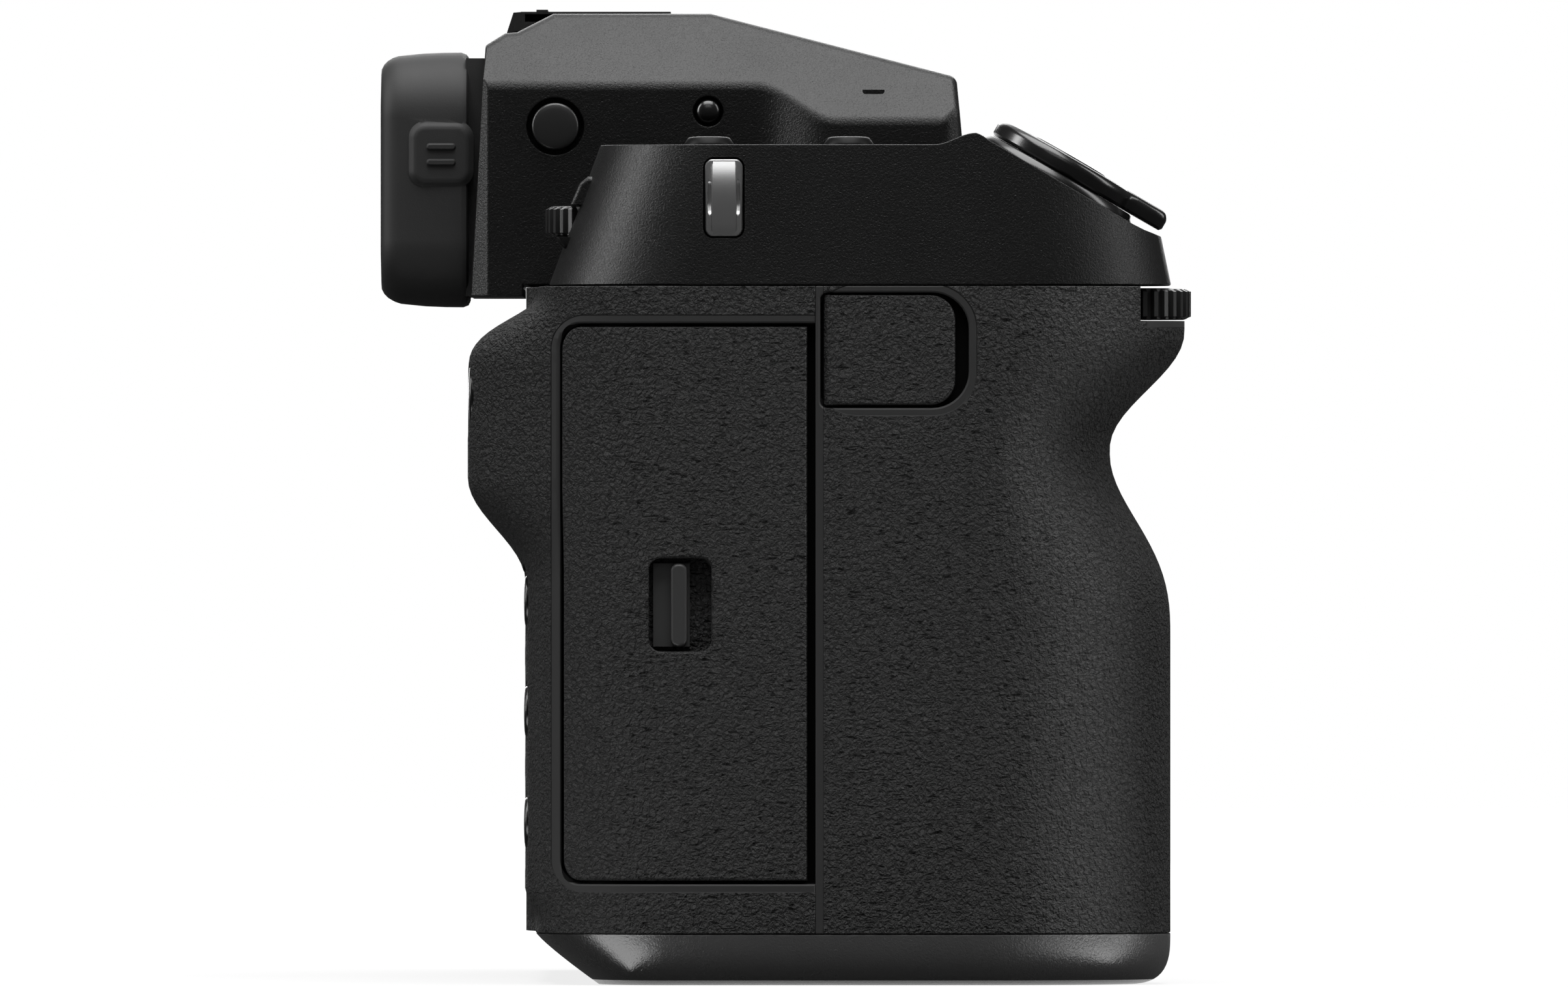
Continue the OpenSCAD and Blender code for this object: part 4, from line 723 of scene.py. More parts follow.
def front_plan(reach):
    nose = arc((NOSE_X, SIDE_FLAT_Y), (CORNER, reach + SIDE_FLAT_Y), 180, 270, 22)
    finger = arc((NOSE_X + NOSE_W, FINGER_R - reach), FINGER_R, 270, 360, 14)
    return [(INNER_X, SEAM_Y), (SIDE_X, SEAM_Y)] + nose + finger


def rear_plan(z):
    flat = [(INNER_X + (NOSE_X - INNER_X) * i / 12, REAR_Y) for i in range(12)]
    outline = flat + arc((NOSE_X, FLAT_Y), CORNER, 90, 180, 28) + [(SIDE_X, SEAM_Y), (INNER_X, SEAM_Y)]
    return [(x, y + thumb_rise(z) * thumb_share(x)) if y > FLAT_Y else (x, y) for x, y in outline]


def wall_point(u, z, depth):
    """Point on the grip's side wall: u runs along the wall to the rear, depth goes inwards."""
    if u <= FLAT_Y:
        return Vector((SIDE_X + depth, u, z))
    turn = (u - FLAT_Y) / CORNER
    outer_x = NOSE_X - CORNER * math.cos(turn)
    reach = CORNER - depth
    shift = thumb_rise(z) * thumb_share(outer_x)
    return Vector((NOSE_X - reach * math.cos(turn), FLAT_Y + reach * math.sin(turn) + shift, z))


WRAP_STEPS = 24


def wrapped(name, outline, layers):
    """Plate that follows the side wall: outline(grow) gives its edge, layers are (grow, depth) pairs."""
    piece = loft(name, [[(depth, u, z) for u, z in outline(grow)] for grow, depth in layers])
    along, up = zip(*outline(0))
    low_z, high_z = min(up), max(up)
    stations = [((0, FLAT_Y + i, 0), (0, 1, 0)) for i in range(int(max(along) - FLAT_Y) + 1)]
    stations += [((0, 0, low_z + (high_z - low_z) * i / WRAP_STEPS), (0, 0, 1)) for i in range(1, WRAP_STEPS)]

    def bend(work):
        for place, normal in stations:
            everything = work.verts[:] + work.edges[:] + work.faces[:]
            bmesh.ops.bisect_plane(work, geom=everything, dist=1e-7, plane_co=Vector(place) * MM,
                                   plane_no=normal)
        for vertex in work.verts:
            depth, u, z = vertex.co / MM
            vertex.co = wall_point(u, z, depth) * MM
        bmesh.ops.recalc_face_normals(work, faces=work.faces)

    edit(piece, bend)
    return piece


def mouth(soft, depth, outside=3.0):
    """Layers of a cutter whose mouth is flared by a small radius, from outside the wall to its floor."""
    turns = [math.radians(t) for t in (18, 45, 68, 90)]
    flare = [(soft * (1 - math.sin(t)), soft * (1 - math.cos(t))) for t in turns]
    grow, rim = flare[0]
    return [(grow + outside, rim - outside)] + flare + [(0.0, depth)]


print("reach at the waist", round(grip_reach(WAIST_Z), 2), "thumb rest", round(thumb_rise(66), 2))

# %% [markdown]
# ## Door openings
# The side of the grip carries a long card door that runs round the rear corner, and a small flap over the
# remote socket. Both sit in shallow pockets with a thin gap, darkened by painted shade, and a narrow smooth
# band of the leather frames them. The pockets are cut with a flared tool so that the leather rolls into the
# gap.

# %% Outlines of the doors
DOOR_GAP = 0.42
DOOR_T = 2.2
DOOR_TURN = 46.8
DOOR_Y0 = SEAM_Y + 1
DOOR_U1 = FLAT_Y + math.radians(DOOR_TURN) * CORNER
DOOR_Z0, DOOR_Z1 = 12.6, 79.1
DOOR_R = 2.6
HINGE_TURN = math.radians(42.8)
HINGE_R = CORNER - DOOR_T / 2
HINGE = (NOSE_X - HINGE_R * math.cos(HINGE_TURN), FLAT_Y + HINGE_R * math.sin(HINGE_TURN))
FLAP_T = 1.6
FLAP_Z0, FLAP_Z1 = SEAM_Z - 14.3, SEAM_Z - 1.1
FLAP_Y0, FLAP_Y1 = -24.8, -9
POCKET_R, POCKET_HINGE_R = 4.4, 0.8
POCKET_FRONT, POCKET_REAR, POCKET_TOP, POCKET_FOOT = 1.6, 0.4, 0.3, 0.35
LATCH = (4.5, 12, 40.1, 51.3)
LATCH_R, LATCH_DEPTH = 1.4, 2.4


def door_outline(grow):
    r = DOOR_R + grow
    low, high = DOOR_Z0 - grow, DOOR_Z1 + grow
    far = DOOR_U1 + grow
    rear = arc((far - r, low + r), r, 270, 360, 8) + arc((far - r, high - r), r, 0, 90, 8)
    near = DOOR_Y0 - grow
    return [(near, low)] + rear + [(near, high)]


def pocket_outline(grow):
    """Round towards the front, where the pocket leaves room for a fingertip, and tight at the hinge."""
    front, hinge = POCKET_R + grow, POCKET_HINGE_R + grow
    y0, y1 = FLAP_Y0 - POCKET_FRONT - grow, FLAP_Y1 + POCKET_REAR + grow
    z0, z1 = FLAP_Z0 - POCKET_FOOT - grow, FLAP_Z1 + POCKET_TOP + grow
    corners = ((y1 - hinge, z1 - hinge, hinge, 0, 5), (y0 + front, z1 - front, front, 90, 10),
               (y0 + front, z0 + front, front, 180, 10), (y1 - hinge, z0 + hinge, hinge, 270, 5))
    return [p for y, z, r, turn, count in corners for p in arc((y, z), r, turn, turn + 90, count)]


def side_cutter(name, outline, layers):
    return loft(name, [[(SIDE_X + depth, y, z) for y, z in outline(grow)] for grow, depth in layers])


# %% Leather with its smooth bands and painted shade in the door pockets
def rear_bands(tree):
    rear_y = FLAT_Y + CORNER * math.sin(math.radians(DOOR_TURN))
    reach = 60.0
    middle = Vector((0, rear_y - reach, (DOOR_Z0 + DOOR_Z1) / 2)) * MM
    half = Vector((0, reach, (DOOR_Z1 - DOOR_Z0) / 2)) * MM
    shape = {"Middle": middle, "Half": half, "Radius": DOOR_R * MM}
    # The first mask is the smooth band round the card door. The second covers the door and most of its gap,
    # and is painted shade on the leather in the door pocket.
    rims = [place_group(tree, band_group, Reach=width * MM, **shape)["Band"]
            for width in (DOOR_GAP + RIM_W, DOOR_GAP - 0.15)]
    spot = put(tree, "SeparateXYZ", Vector=place_in(tree))
    on_side = ramp(tree, spot["X"], (SIDE_X + 7.2) * MM, (SIDE_X + 7.0) * MM)
    return [maths(tree, "MULTIPLY", rim, on_side) for rim in rims]


def front_bands(tree):
    low_y, high_y = FLAP_Y0 - POCKET_FRONT, FLAP_Y1 + POCKET_REAR
    middle = Vector((0, (low_y + high_y) / 2, (FLAP_Z0 + FLAP_Z1) / 2)) * MM
    half = Vector((0, (high_y - low_y) / 2, (FLAP_Z1 - FLAP_Z0) / 2 + POCKET_TOP)) * MM
    shape = {"Middle": middle, "Half": half, "Radius": POCKET_R * MM}
    flap = place_group(tree, band_group, Reach=RIM_W * MM, **shape)["Band"]
    spot = put(tree, "SeparateXYZ", Vector=place_in(tree))
    seam = ramp(tree, spot["Y"], (SEAM_Y - RIM_W - 0.06) * MM, (SEAM_Y - RIM_W + 0.06) * MM)
    under_dial = ramp(tree, spot["Z"], (SEAM_Z - 5.0) * MM, (SEAM_Z - 4.85) * MM)
    at_front = ramp(tree, spot["Y"], -47.6 * MM, -48.0 * MM)
    dial_band = maths(tree, "MULTIPLY", under_dial, at_front)
    # Painted shade: the leather inside the flap pocket, below the side wall, is darkened.
    inside = ramp(tree, spot["X"], (SIDE_X + 0.3) * MM, (SIDE_X + 0.5) * MM)
    bands = maths(tree, "MAXIMUM", maths(tree, "MAXIMUM", flap, seam), dial_band)
    return bands, maths(tree, "MULTIPLY", flap, inside)


leather("grip_leather")
leather("rear_leather", rear_bands)
leather("front_leather", front_bands)
print("leather with smooth bands", RIM_W, "mm wide")

# %% Front half of the grip
BATTERY_LOW, BATTERY_HIGH = (-73.25, -35.75, -1), (-52.25, 0.75, 54)
DIAL_X, DIAL_Y, DIAL_FLOOR, DIAL_R = -65, -44.8, SEAM_Z - 4.15, 8.5
DIAL_GAP = 0.4
SLOT_Y = -47.1
JACK_Y, JACK_Z, JACK_R = -16, (FLAP_Z0 + FLAP_Z1) / 2, 4.05


def steps(start, end, count):
    return [start + (end - start) * i / count for i in range(count)]


def slot_edge(p):
    return abs(p.z - DIAL_FLOOR) < 0.05 and p.y < SLOT_Y - 0.2


levels = [BASE_Z, 12, 20, 28, 36] + steps(WAIST_LOW, WAIST_Z, 18)
levels += steps(WAIST_Z, SEAM_Z - 4, 14) + [SEAM_Z - 4, SEAM_Z]
front_half = stack("grip_front_half", [(z, front_plan(grip_reach(z))) for z in levels])
round_edges(front_half, 0.15, sharper=55)
bore = move(rod("jack_bore", JACK_R, -1, 12), (SIDE_X, JACK_Y, JACK_Z), FACING["left"])
well = move(rod("dial_well", DIAL_R + DIAL_GAP, 0, 6), (DIAL_X, DIAL_Y, DIAL_FLOOR))
cut(front_half, brick("battery_room", BATTERY_LOW, BATTERY_HIGH),
    brick("dial_slot", (SIDE_X - 2, -80, DIAL_FLOOR), (INNER_X + 2, SLOT_Y, SEAM_Z + 2)), well,
    side_cutter("flap_pocket", pocket_outline, mouth(0.3, FLAP_T + 0.3)), bore)
round_edges(front_half, 0.35, sharper=40, where=slot_edge)
finish_piece(front_half, "front_leather", "body", "grip_leather", "front_grip")

# %% Rear half of the grip
READER = ((-80.1, 1.2, 24.8), (-47.8, 12.6, 71.2))
READER_MOUTH = ((SIDE_X - 1, 1.8, 25.4), (-74, 12, 70.6))
REAR_BUTTON_X, REAR_BUTTON_ZS, REAR_BUTTON_R = -66, (46.1, 32.8, 19.4), 3.1
DISH_R, DISH_DEPTH, QUICK_DEPTH, WELL_GAP = 15, 1.2, 0.8, 0.25
QUICK_Y, QUICK_Z, QUICK_R = REAR_Y + THUMB - 0.2, 70.9, 3.5
STICK_X, STICK_Z, STICK_FLOOR, STICK_WELL_R = -52, 43, 19.5, 5.4


def ball_cap(name, place, radius, depth):
    """Part of a ball that cuts a shallow round dish into a rear face."""
    turns = [math.radians(90 * i / 40) for i in range(12)]
    profile = [(max(0.01, radius * math.sin(t)), radius * (1 - math.cos(t)) - depth) for t in turns]
    return move(lathe(name, profile, 72), place, FACING["rear"])


def button_well(name, place, radius, depth, facing="rear"):
    """Cutter for the well of a button, with a soft mouth."""
    soft = 0.25
    lip = [(radius + soft * 0.3, -soft * 0.3), (radius + soft, 0.02), (radius + soft, 8)]
    return move(lathe(name, [(radius, -depth), (radius, -soft)] + lip, 48), place, FACING[facing])


levels = [BASE_Z, 7.2, 8.2, 9.2, 10.2, TUCK_Z, 18, 26, 34, 42] + steps(THUMB_FOOT, THUMB_FULL, 12)
levels += steps(THUMB_FULL, THUMB_BROW, 5) + steps(THUMB_BROW, THUMB_END, 14) + [THUMB_END, SEAM_Z]
rear_half = stack("grip_rear_half", [(z, rear_plan(z)) for z in levels])
round_edges(rear_half, 0.15, sharper=55, where=lambda p: p.y > SEAM_Y + 0.5 or p.x < SIDE_X + 0.5)


def pocket_edge(grow):
    near = SEAM_Y - 4
    return [(near, z) if u < DOOR_Y0 else (u, z) for u, z in door_outline(grow)]


door_mouth = [(grow + DOOR_GAP, depth) for grow, depth in mouth(0.3, DOOR_T + 0.3)]
room_taper = [(1.05, -0.25), (1.42, 0.25), (1.7, 0.9), (1.8, 1.6)]
room_low = [(r, DOOR_Z0 + rise) for r, rise in room_taper]
room_high = [(r, DOOR_Z1 - rise) for r, rise in reversed(room_taper)]
latch_low = (SIDE_X - 1, LATCH[0] - 1.4, LATCH[2] - 1.6)
latch_high = (SIDE_X + 3.8, LATCH[1] + 1.6, LATCH[3] + 1.6)
cut(rear_half, wrapped("door_pocket", pocket_edge, door_mouth),
    move(lathe("hinge_room", room_low + room_high, 24), (*HINGE, 0)),
    brick("latch_room", latch_low, latch_high), brick("battery_room", BATTERY_LOW, BATTERY_HIGH),
    brick("reader_mouth", *READER_MOUTH), brick("reader_room", *READER))
dishes = [(REAR_Y, z, DISH_DEPTH, REAR_BUTTON_R) for z in REAR_BUTTON_ZS]
dishes += [(QUICK_Y, QUICK_Z, QUICK_DEPTH, QUICK_R)]
for y, z, depth, radius in dishes:
    cut(rear_half, ball_cap("dish", (REAR_BUTTON_X, y, z), DISH_R, depth),
        button_well("well", (REAR_BUTTON_X, y - depth, z), radius + WELL_GAP, 3))
stick_depth = REAR_Y - STICK_FLOOR
cut(rear_half, button_well("stick_well", (STICK_X, REAR_Y, STICK_Z), STICK_WELL_R, stick_depth))
finish_piece(rear_half, "rear_leather", "body", "grip_leather", "rear_grip")

# %% [markdown]
# ## Doors on the grip
# The card door is a leather covered plate that follows the wall round the corner. It is modelled flat, with
# a rounded border, and then wrapped on the wall by a function of place, so its gap is even all round. The
# latch slides in a recess of the door. The remote flap is a small plate with a round hinge edge.

# %% Card door with its latch
def plate_layers(thickness, soft=0.35, back=0.2):
    turns = [math.radians(t) for t in (0, 30, 60, 90)]
    crown = [(-soft * (1 - math.sin(t)), soft * (1 - math.cos(t))) for t in turns]
    return crown + [(0.0, thickness - back), (-back, thickness)]


def latch_outline(grow):
    return grown(LATCH, LATCH_R, grow)


door = wrapped("card_door_skin", door_outline, plate_layers(DOOR_T))
housing_low = (SIDE_X + 1.9, LATCH[0] - 1.1, LATCH[2] - 1.3)
housing_high = (SIDE_X + LATCH_DEPTH + 1.1, LATCH[1] + 1.3, LATCH[3] + 1.3)
join(door, brick("latch_housing", housing_low, housing_high))
cut(door, side_cutter("latch_recess", latch_outline, mouth(0.4, LATCH_DEPTH)))
finish_piece(door, "grip_leather", "card_door", "grip_leather", "card_door")

BAR_TRIM, BAR_R = 0.6, 0.9
BAR = (7.4, 9.4, LATCH[2] + BAR_TRIM, LATCH[3] - BAR_TRIM)


def bar_outline(grow):
    return grown(BAR, BAR_R, grow)


bar_layers = [(grow, depth + 0.2) for grow, depth in plate_layers(LATCH_DEPTH - 0.6, soft=0.45, back=0.01)]
slider = side_cutter("latch_slider", bar_outline, bar_layers)
foot_low = (SIDE_X + LATCH_DEPTH - 0.7, BAR[0] - 0.3, BAR[2])
join(slider, brick("slider_foot", foot_low, (SIDE_X + LATCH_DEPTH - 0.05, BAR[0] + 4.1, BAR[3])))
finish_piece(slider, "latch_black", "card_door_latch", "gloss_black", "card_door_latch")

# %% Remote flap
FLAP_AXIS = (SIDE_X + FLAP_T / 2, FLAP_Y1 - FLAP_T / 2)
FLAP_R = 3


def flap_outline(grow):
    r = FLAP_R + grow
    near, low, high = FLAP_Y0 - grow, FLAP_Z0 - grow, FLAP_Z1 + grow
    front = arc((near + r, low + r), r, 180, 270, 8)
    return front + [(FLAP_AXIS[1], low), (FLAP_AXIS[1], high)] + arc((near + r, high - r), r, 90, 180, 8)


flap = side_cutter("remote_flap", flap_outline, plate_layers(FLAP_T, soft=0.3))
ends = [(0.7, FLAP_Z0), (0.79, FLAP_Z0 + 0.15), (0.79, FLAP_Z1 - 0.15), (0.7, FLAP_Z1)]
join(flap, move(lathe("flap_barrel", ends, 32), (*FLAP_AXIS, 0)))
hollow_low, hollow_high = (SIDE_X + 1, JACK_Y - 5, JACK_Z - 4.8), (SIDE_X + 3, JACK_Y + 5, JACK_Z + 4.8)
cut(flap, brick("flap_hollow", hollow_low, hollow_high))
finish_piece(flap, "grip_leather", "remote_cover", "grip_leather", "remote_cover")

# %% [markdown]
# ## Top cover
# The top cover is one casting: a right shoulder that leans in towards the top and slopes down to the shutter
# button, a low platform under the viewfinder, and a left shoulder for the mode dial. The shoulder is a loft
# cut by the profile of its top, which has a soft step before the slope. Its top edge gets a visible radius,
# because that edge draws the bright line in the photograph.

# %% Right shoulder
TOP_Z = SEAM_Z + 17
PLATFORM_Z = SEAM_Z + 4
LEFT_Z = SEAM_Z + 10
SHOULDER_IN = INNER_X + 10
SHOULDER_REAR = 24.1
FRONT_LEAN, REAR_LEAN, SIDE_LEAN = 3.9, 6.9, 1.6
STEP_Y, STEP_RUN, STEP_RISE, STEP_COUNT = -22.3, 5.0, 1.4, 10
PEAK_Y, PEAK_Z = STEP_Y - STEP_RUN, TOP_Z + STEP_RISE
TILT = math.radians(30)
SLOPE = math.tan(TILT)
SEAM_GAP = 0.12
RIDGE_R, RIDGE_Z = 1.1, SEAM_Z + 4.6


def shoulder_plan(share):
    """Plan of the right shoulder, from the seam at 0 to above its peak at 1."""
    front = GRIP_FRONT + 0.1 - FRONT_LEAN * share
    rear = SHOULDER_REAR - REAR_LEAN * share
    inset = SIDE_LEAN * share
    plan = [(SHOULDER_IN - 2 * inset, rear)]
    plan += arc((NOSE_X, rear - CORNER + inset), CORNER - inset, 90, 180, 26)
    plan += arc((NOSE_X, SIDE_FLAT_Y), (CORNER - inset, front + SIDE_FLAT_Y), 180, 270, 24)
    plan += arc((NOSE_X + NOSE_W, FINGER_R - front), FINGER_R, 270, 360, 14)
    return plan + [(SHOULDER_IN - 2 * inset, FACE_Y - 4)]


def top_profile():
    """Side profile of the top from rear to front: flat, a soft step up to the peak, and the slope."""
    stations = [i / STEP_COUNT for i in range(STEP_COUNT + 1)]
    step = [(STEP_Y - STEP_RUN * i, TOP_Z + STEP_RISE * ease(i)) for i in stations]
    brow = [(PEAK_Y - d, PEAK_Z - d * SLOPE * min(1.0, 0.5 + d / 3)) for d in (0.5, 1.0, 1.5)]
    foot = [(PEAK_Y - d, PEAK_Z - d * SLOPE + lift) for d, lift in ((18.9, 0), (20.3, 0.12), (32.7, 2.6))]
    return [(40, SEAM_Z - 5), (40, TOP_Z)] + step + brow + foot + [(-60, SEAM_Z - 5)]


RISE = PEAK_Z + 0.5 - SEAM_Z - SEAM_GAP
shares = [i / 8 for i in range(9)]
top = stack("top_casting", [(SEAM_Z + SEAM_GAP + RISE * s, shoulder_plan(s)) for s in shares])
combine(top, prism("top_line", top_profile(), "x", SIDE_X - 5, SHOULDER_IN + 5), "INTERSECT")
round_edges(top, RIDGE_R, sharper=35, where=lambda p: p.z > RIDGE_Z and p.x < SHOULDER_IN - 2.5, steps=4)
round_edges(top, 0.25, sharper=55, where=lambda p: p.z < SEAM_Z + 0.2)

# %% Platform, left shoulder and boss of the rear dial
LEFT_IN = 34
BOSS_X0, BOSS_X1 = -71, -53
REAR_DIAL = (-62, 16.1, SEAM_Z + 6.1)
LEFT_PLAN = (LEFT_IN, LEFT_X, FACE_Y, REAR_Y - 3)

left_layers = [(0.25, SEAM_GAP), (0.0, 0.4), (0.6, 8.5)]
left_layers += arc((2.0, 8.5), (-1.4, 1.5), 20, 80, 3) + [(2.4, 10)]
left = stack("left_shoulder", [(SEAM_Z + h, grown(LEFT_PLAN, 8, -inset, 10)) for inset, h in left_layers])
platform = brick("platform", (SHOULDER_IN - 8, -24, SEAM_Z + 0.2), (LEFT_IN + 8, 20.2, PLATFORM_Z))
round_edges(platform, 0.5, sharper=60)
dial_y, slot_low, slot_high = REAR_DIAL[1], REAR_DIAL[2] - 0.15, REAR_DIAL[2] + 3.8
upper_line = [(dial_y, SEAM_Z + 13.2), (SHOULDER_REAR - 4.7, SEAM_Z + 13.2),
              (SHOULDER_REAR - 3.7, SEAM_Z + 12.4), (SHOULDER_REAR - 2.6, slot_high), (dial_y, slot_high)]
lower_line = [(dial_y, slot_low), (SHOULDER_REAR - 0.9, slot_low), (SHOULDER_REAR - 1.1, slot_low - 0.7),
              (SHOULDER_REAR - 1.8, SEAM_Z + 4.6), (dial_y, SEAM_Z + 4.6)]


def boss_edge(p):
    return p.y > 17 and not slot_low - 0.1 < p.z < slot_high + 0.1


bosses = [prism("dial_boss", line, "x", BOSS_X0, BOSS_X1) for line in (upper_line, lower_line)]
for boss in bosses:
    round_edges(boss, 0.5, sharper=50, where=boss_edge)
join(top, left, platform, *bosses)

# %% Openings of the top cover
TOP_BUTTON_X, TOP_BUTTON_YS, TOP_BUTTON_R = -76.5, (4.8, -12), 3.0
MONITOR = (-70, -40, -19, 12)
SHUTTER = Vector((-64, -37, PEAK_Z - (PEAK_Y + 37) * SLOPE))
SHUTTER_R, BORE_GAP = 5.2, 0.4
LEAN = Matrix.Rotation(TILT, 3, "X")
MODE_X, MODE_Y, MODE_R = 51, -2, 12
DRIVE_X, DRIVE_Y, DRIVE_R = 57, REAR_Y - 11.5, 3.6
LUG_Y, LUG_Z, LUG_W, LUG_H, LUG_DEPTH = 3, SEAM_Z + 10.6, 4.7, 9.6, 3.4
LUG_BOW, LUG_R, LUG_SINK, LUG_GAP = 0.25, 0.9, 0.6, 0.15
LEFT_LUG_Z, LEFT_LUG_H = SEAM_Z + 4.6, 6.6
SHOE_HALF, SHOE_DEPTH = 11, 3

for y in TOP_BUTTON_YS:
    cut(top, button_well("well", (TOP_BUTTON_X, y, TOP_Z), TOP_BUTTON_R + 0.2, 3.2, "up"))
shoe_low = (-SHOE_HALF - 0.1, -12.1, PLATFORM_Z - SHOE_DEPTH)
cut(top, button_well("well", (DRIVE_X, DRIVE_Y, LEFT_Z), DRIVE_R + WELL_GAP, 3.4, "up"),
    prism("monitor_room", rounded(*MONITOR, 1.2), "z", TOP_Z - 1.2, TOP_Z + 3),
    move(rod("dial_room", DIAL_R + DIAL_GAP, -0.15, 3.75), REAR_DIAL),
    move(rod("shutter_bore", SHUTTER_R + BORE_GAP, -7, 6), SHUTTER, LEAN),
    move(rod("mode_bore", 1.6, -3.3, 3, 24), (MODE_X, MODE_Y, LEFT_Z)),
    brick("shoe_room", shoe_low, (SHOE_HALF + 0.1, 40, PLATFORM_Z + 1)))


def lug_spot(side):
    """Foot, middle and height of the lug on the right at -1 or on the left at 1."""
    if side < 0:
        return SIDE_X + LUG_DEPTH + LUG_SINK, LUG_Z, LUG_H
    return LEFT_X - LUG_DEPTH, LEFT_LUG_Z, LEFT_LUG_H


def lug_outline(height, grow):
    """Face of a strap lug: straight sides, slightly bowed ends."""
    half_w, half_h = LUG_W / 2 + grow, height / 2 + grow
    points = rounded(-half_w, half_w, -half_h, half_h, LUG_R + grow)
    return [(a, b - math.copysign(LUG_BOW * (a / half_w) ** 2, b)) for a, b in points]


def lug_solid(name, side, layers):
    """Solid through lug outlines; layers are (grow, distance out from the lug's foot)."""
    foot, middle, height = lug_spot(side)
    return loft(name, [[(foot + side * out, LUG_Y + a, middle + b) for a, b in lug_outline(height, grow)]
                       for grow, out in layers])


for side in (-1, 1):
    cut(top, lug_solid("lug_room", side, [(LUG_GAP, 0), (LUG_GAP, 12)]))
finish_piece(top, "fine_grain_paint", "body", "fine_grain_paint", "top_cover", sharp=32)

# %% [markdown]
# ## Strap lugs
# Each lug is a bright steel plate in a recess, with a bowed bar across it that the strap passes behind. The
# bow is what makes the lug read as metal: its top mirrors the light above and its foot the dark floor. Two
# narrow eyes beside the bar show the way through for the strap.

# %% Plates with a bowed bar
BOW_R, BAR_HALF, BAR_STEPS = 14, 1.55, 24
PLATE_TOP = 2.7
PLATE_LAYERS = [(-0.15, 0.0), (0.0, 0.2), (0.0, 2.35), (-0.1, 2.6), (-0.3, PLATE_TOP)]
EYE = (0.9, 0.3, 2.2)


def bowed_bar(name, side):
    """Bar with soft flanks whose face follows a large circle from top to foot."""
    foot, middle, height = lug_spot(side)
    half = height / 2 - 0.45
    rings = []
    for i in range(BAR_STEPS + 1):
        z = -half + 2 * half * i / BAR_STEPS
        face = LUG_DEPTH - BOW_R + math.sqrt(BOW_R ** 2 - z ** 2)
        edge = [(BAR_HALF, face - 0.25), (BAR_HALF - 0.08, face - 0.08), (BAR_HALF - 0.25, face)]
        flank = [(-BAR_HALF, 1.0), (BAR_HALF, 1.0)] + edge + [(-y, out) for y, out in reversed(edge)]
        rings.append([(foot + side * out, LUG_Y + y, middle + z) for y, out in flank])
    return loft(name, rings)


for side, name in ((-1, "strap_plate_right"), (1, "strap_plate_left")):
    foot, middle, height = lug_spot(side)
    lug = lug_solid(name, side, PLATE_LAYERS)
    for flank in (-1, 1):
        eye = lathe("eye", [(max(0.02, r), h) for r, h in arc((0, 0), 1, -90, 90, 12)], 24)
        eye.data.transform(Matrix.Diagonal((EYE[0], EYE[1], EYE[2] * height / LUG_H)).to_4x4())
        cut(lug, move(eye, (foot + side * PLATE_TOP, LUG_Y + flank * (BAR_HALF + 0.16), middle)))
    join(lug, bowed_bar("bar", side))
    finish_piece(lug, "lug_steel", "body", "bright_steel", "strap_lugs")

# %% [markdown]
# ## Viewfinder housing
# The viewfinder slides on to the camera as a separate unit. Its housing is a faceted casting: a profile seen
# from the side, a roof with sloping cheeks seen from the rear, and walls that flare out towards the front.
# Three straight solids intersected give all of its creases at once, and the creases are then rounded by
# different radii, as on the casting.

# %% Faceted housing with rounded creases
EVF_Z = PLATFORM_Z + 0.3
EVF_TOP = EVF_Z + 29.2
EVF_HALF, EVF_REAR, EVF_FRONT = 27, 33.9, -25.9
FLARE, FLARE_Y, FLARE_RUN, FLARE_STEPS = 4, -0.4, 10.2, 16
ROOF_HALF, CHEEK, CHEEK_RUN = 19, 8.7 / 8, 20
CUP_Z = EVF_Z + 9.05


def wall_plan(side):
    """Plan of one wall: rear chamfer, straight part, flare, and the front corner."""
    stations = [i / FLARE_STEPS for i in range(FLARE_STEPS + 1)]
    flare = [(EVF_HALF + FLARE * ease(i), FLARE_Y - FLARE_RUN * i) for i in stations]
    wall = [(EVF_HALF - 2.6, EVF_REAR + 0.5), (EVF_HALF, EVF_REAR - 2.1)] + flare
    wall += [(EVF_HALF + FLARE, EVF_FRONT + 2), (EVF_HALF + FLARE - 2, EVF_FRONT - 0.5)]
    return [(side * x, y) for x, y in wall]


side_line = [(EVF_REAR, EVF_Z - 5.3), (EVF_REAR - 1.8, EVF_TOP - 3.9), (EVF_REAR - 4.2, EVF_TOP - 2.4),
             (EVF_REAR - 5.7, EVF_TOP - 2.3), (EVF_REAR - 10.1, EVF_TOP), (4.7, EVF_TOP),
             (EVF_FRONT + 0.7, EVF_TOP - 7.8), (EVF_FRONT, EVF_TOP - 15.5), (EVF_FRONT, EVF_Z),
             (20.5, EVF_Z), (20.5, EVF_Z - 3.9), (27.5, EVF_Z - 3.9), (27.5, EVF_Z - 5.3)]
eaves = ROOF_HALF + CHEEK_RUN
half_roof = [(eaves, EVF_Z - 8), (eaves, EVF_TOP - CHEEK_RUN * CHEEK), (ROOF_HALF, EVF_TOP)]
roof_line = [(-x, z) for x, z in reversed(half_roof)] + half_roof
walls = wall_plan(1) + wall_plan(-1)[::-1]
housing = prism("finder_housing", side_line, "x", -40, 40)
combine(housing, prism("roof", roof_line, "y", EVF_FRONT - 5, EVF_REAR + 5), "INTERSECT")
combine(housing, prism("walls", walls, "z", EVF_Z - 10, EVF_TOP + 2), "INTERSECT")

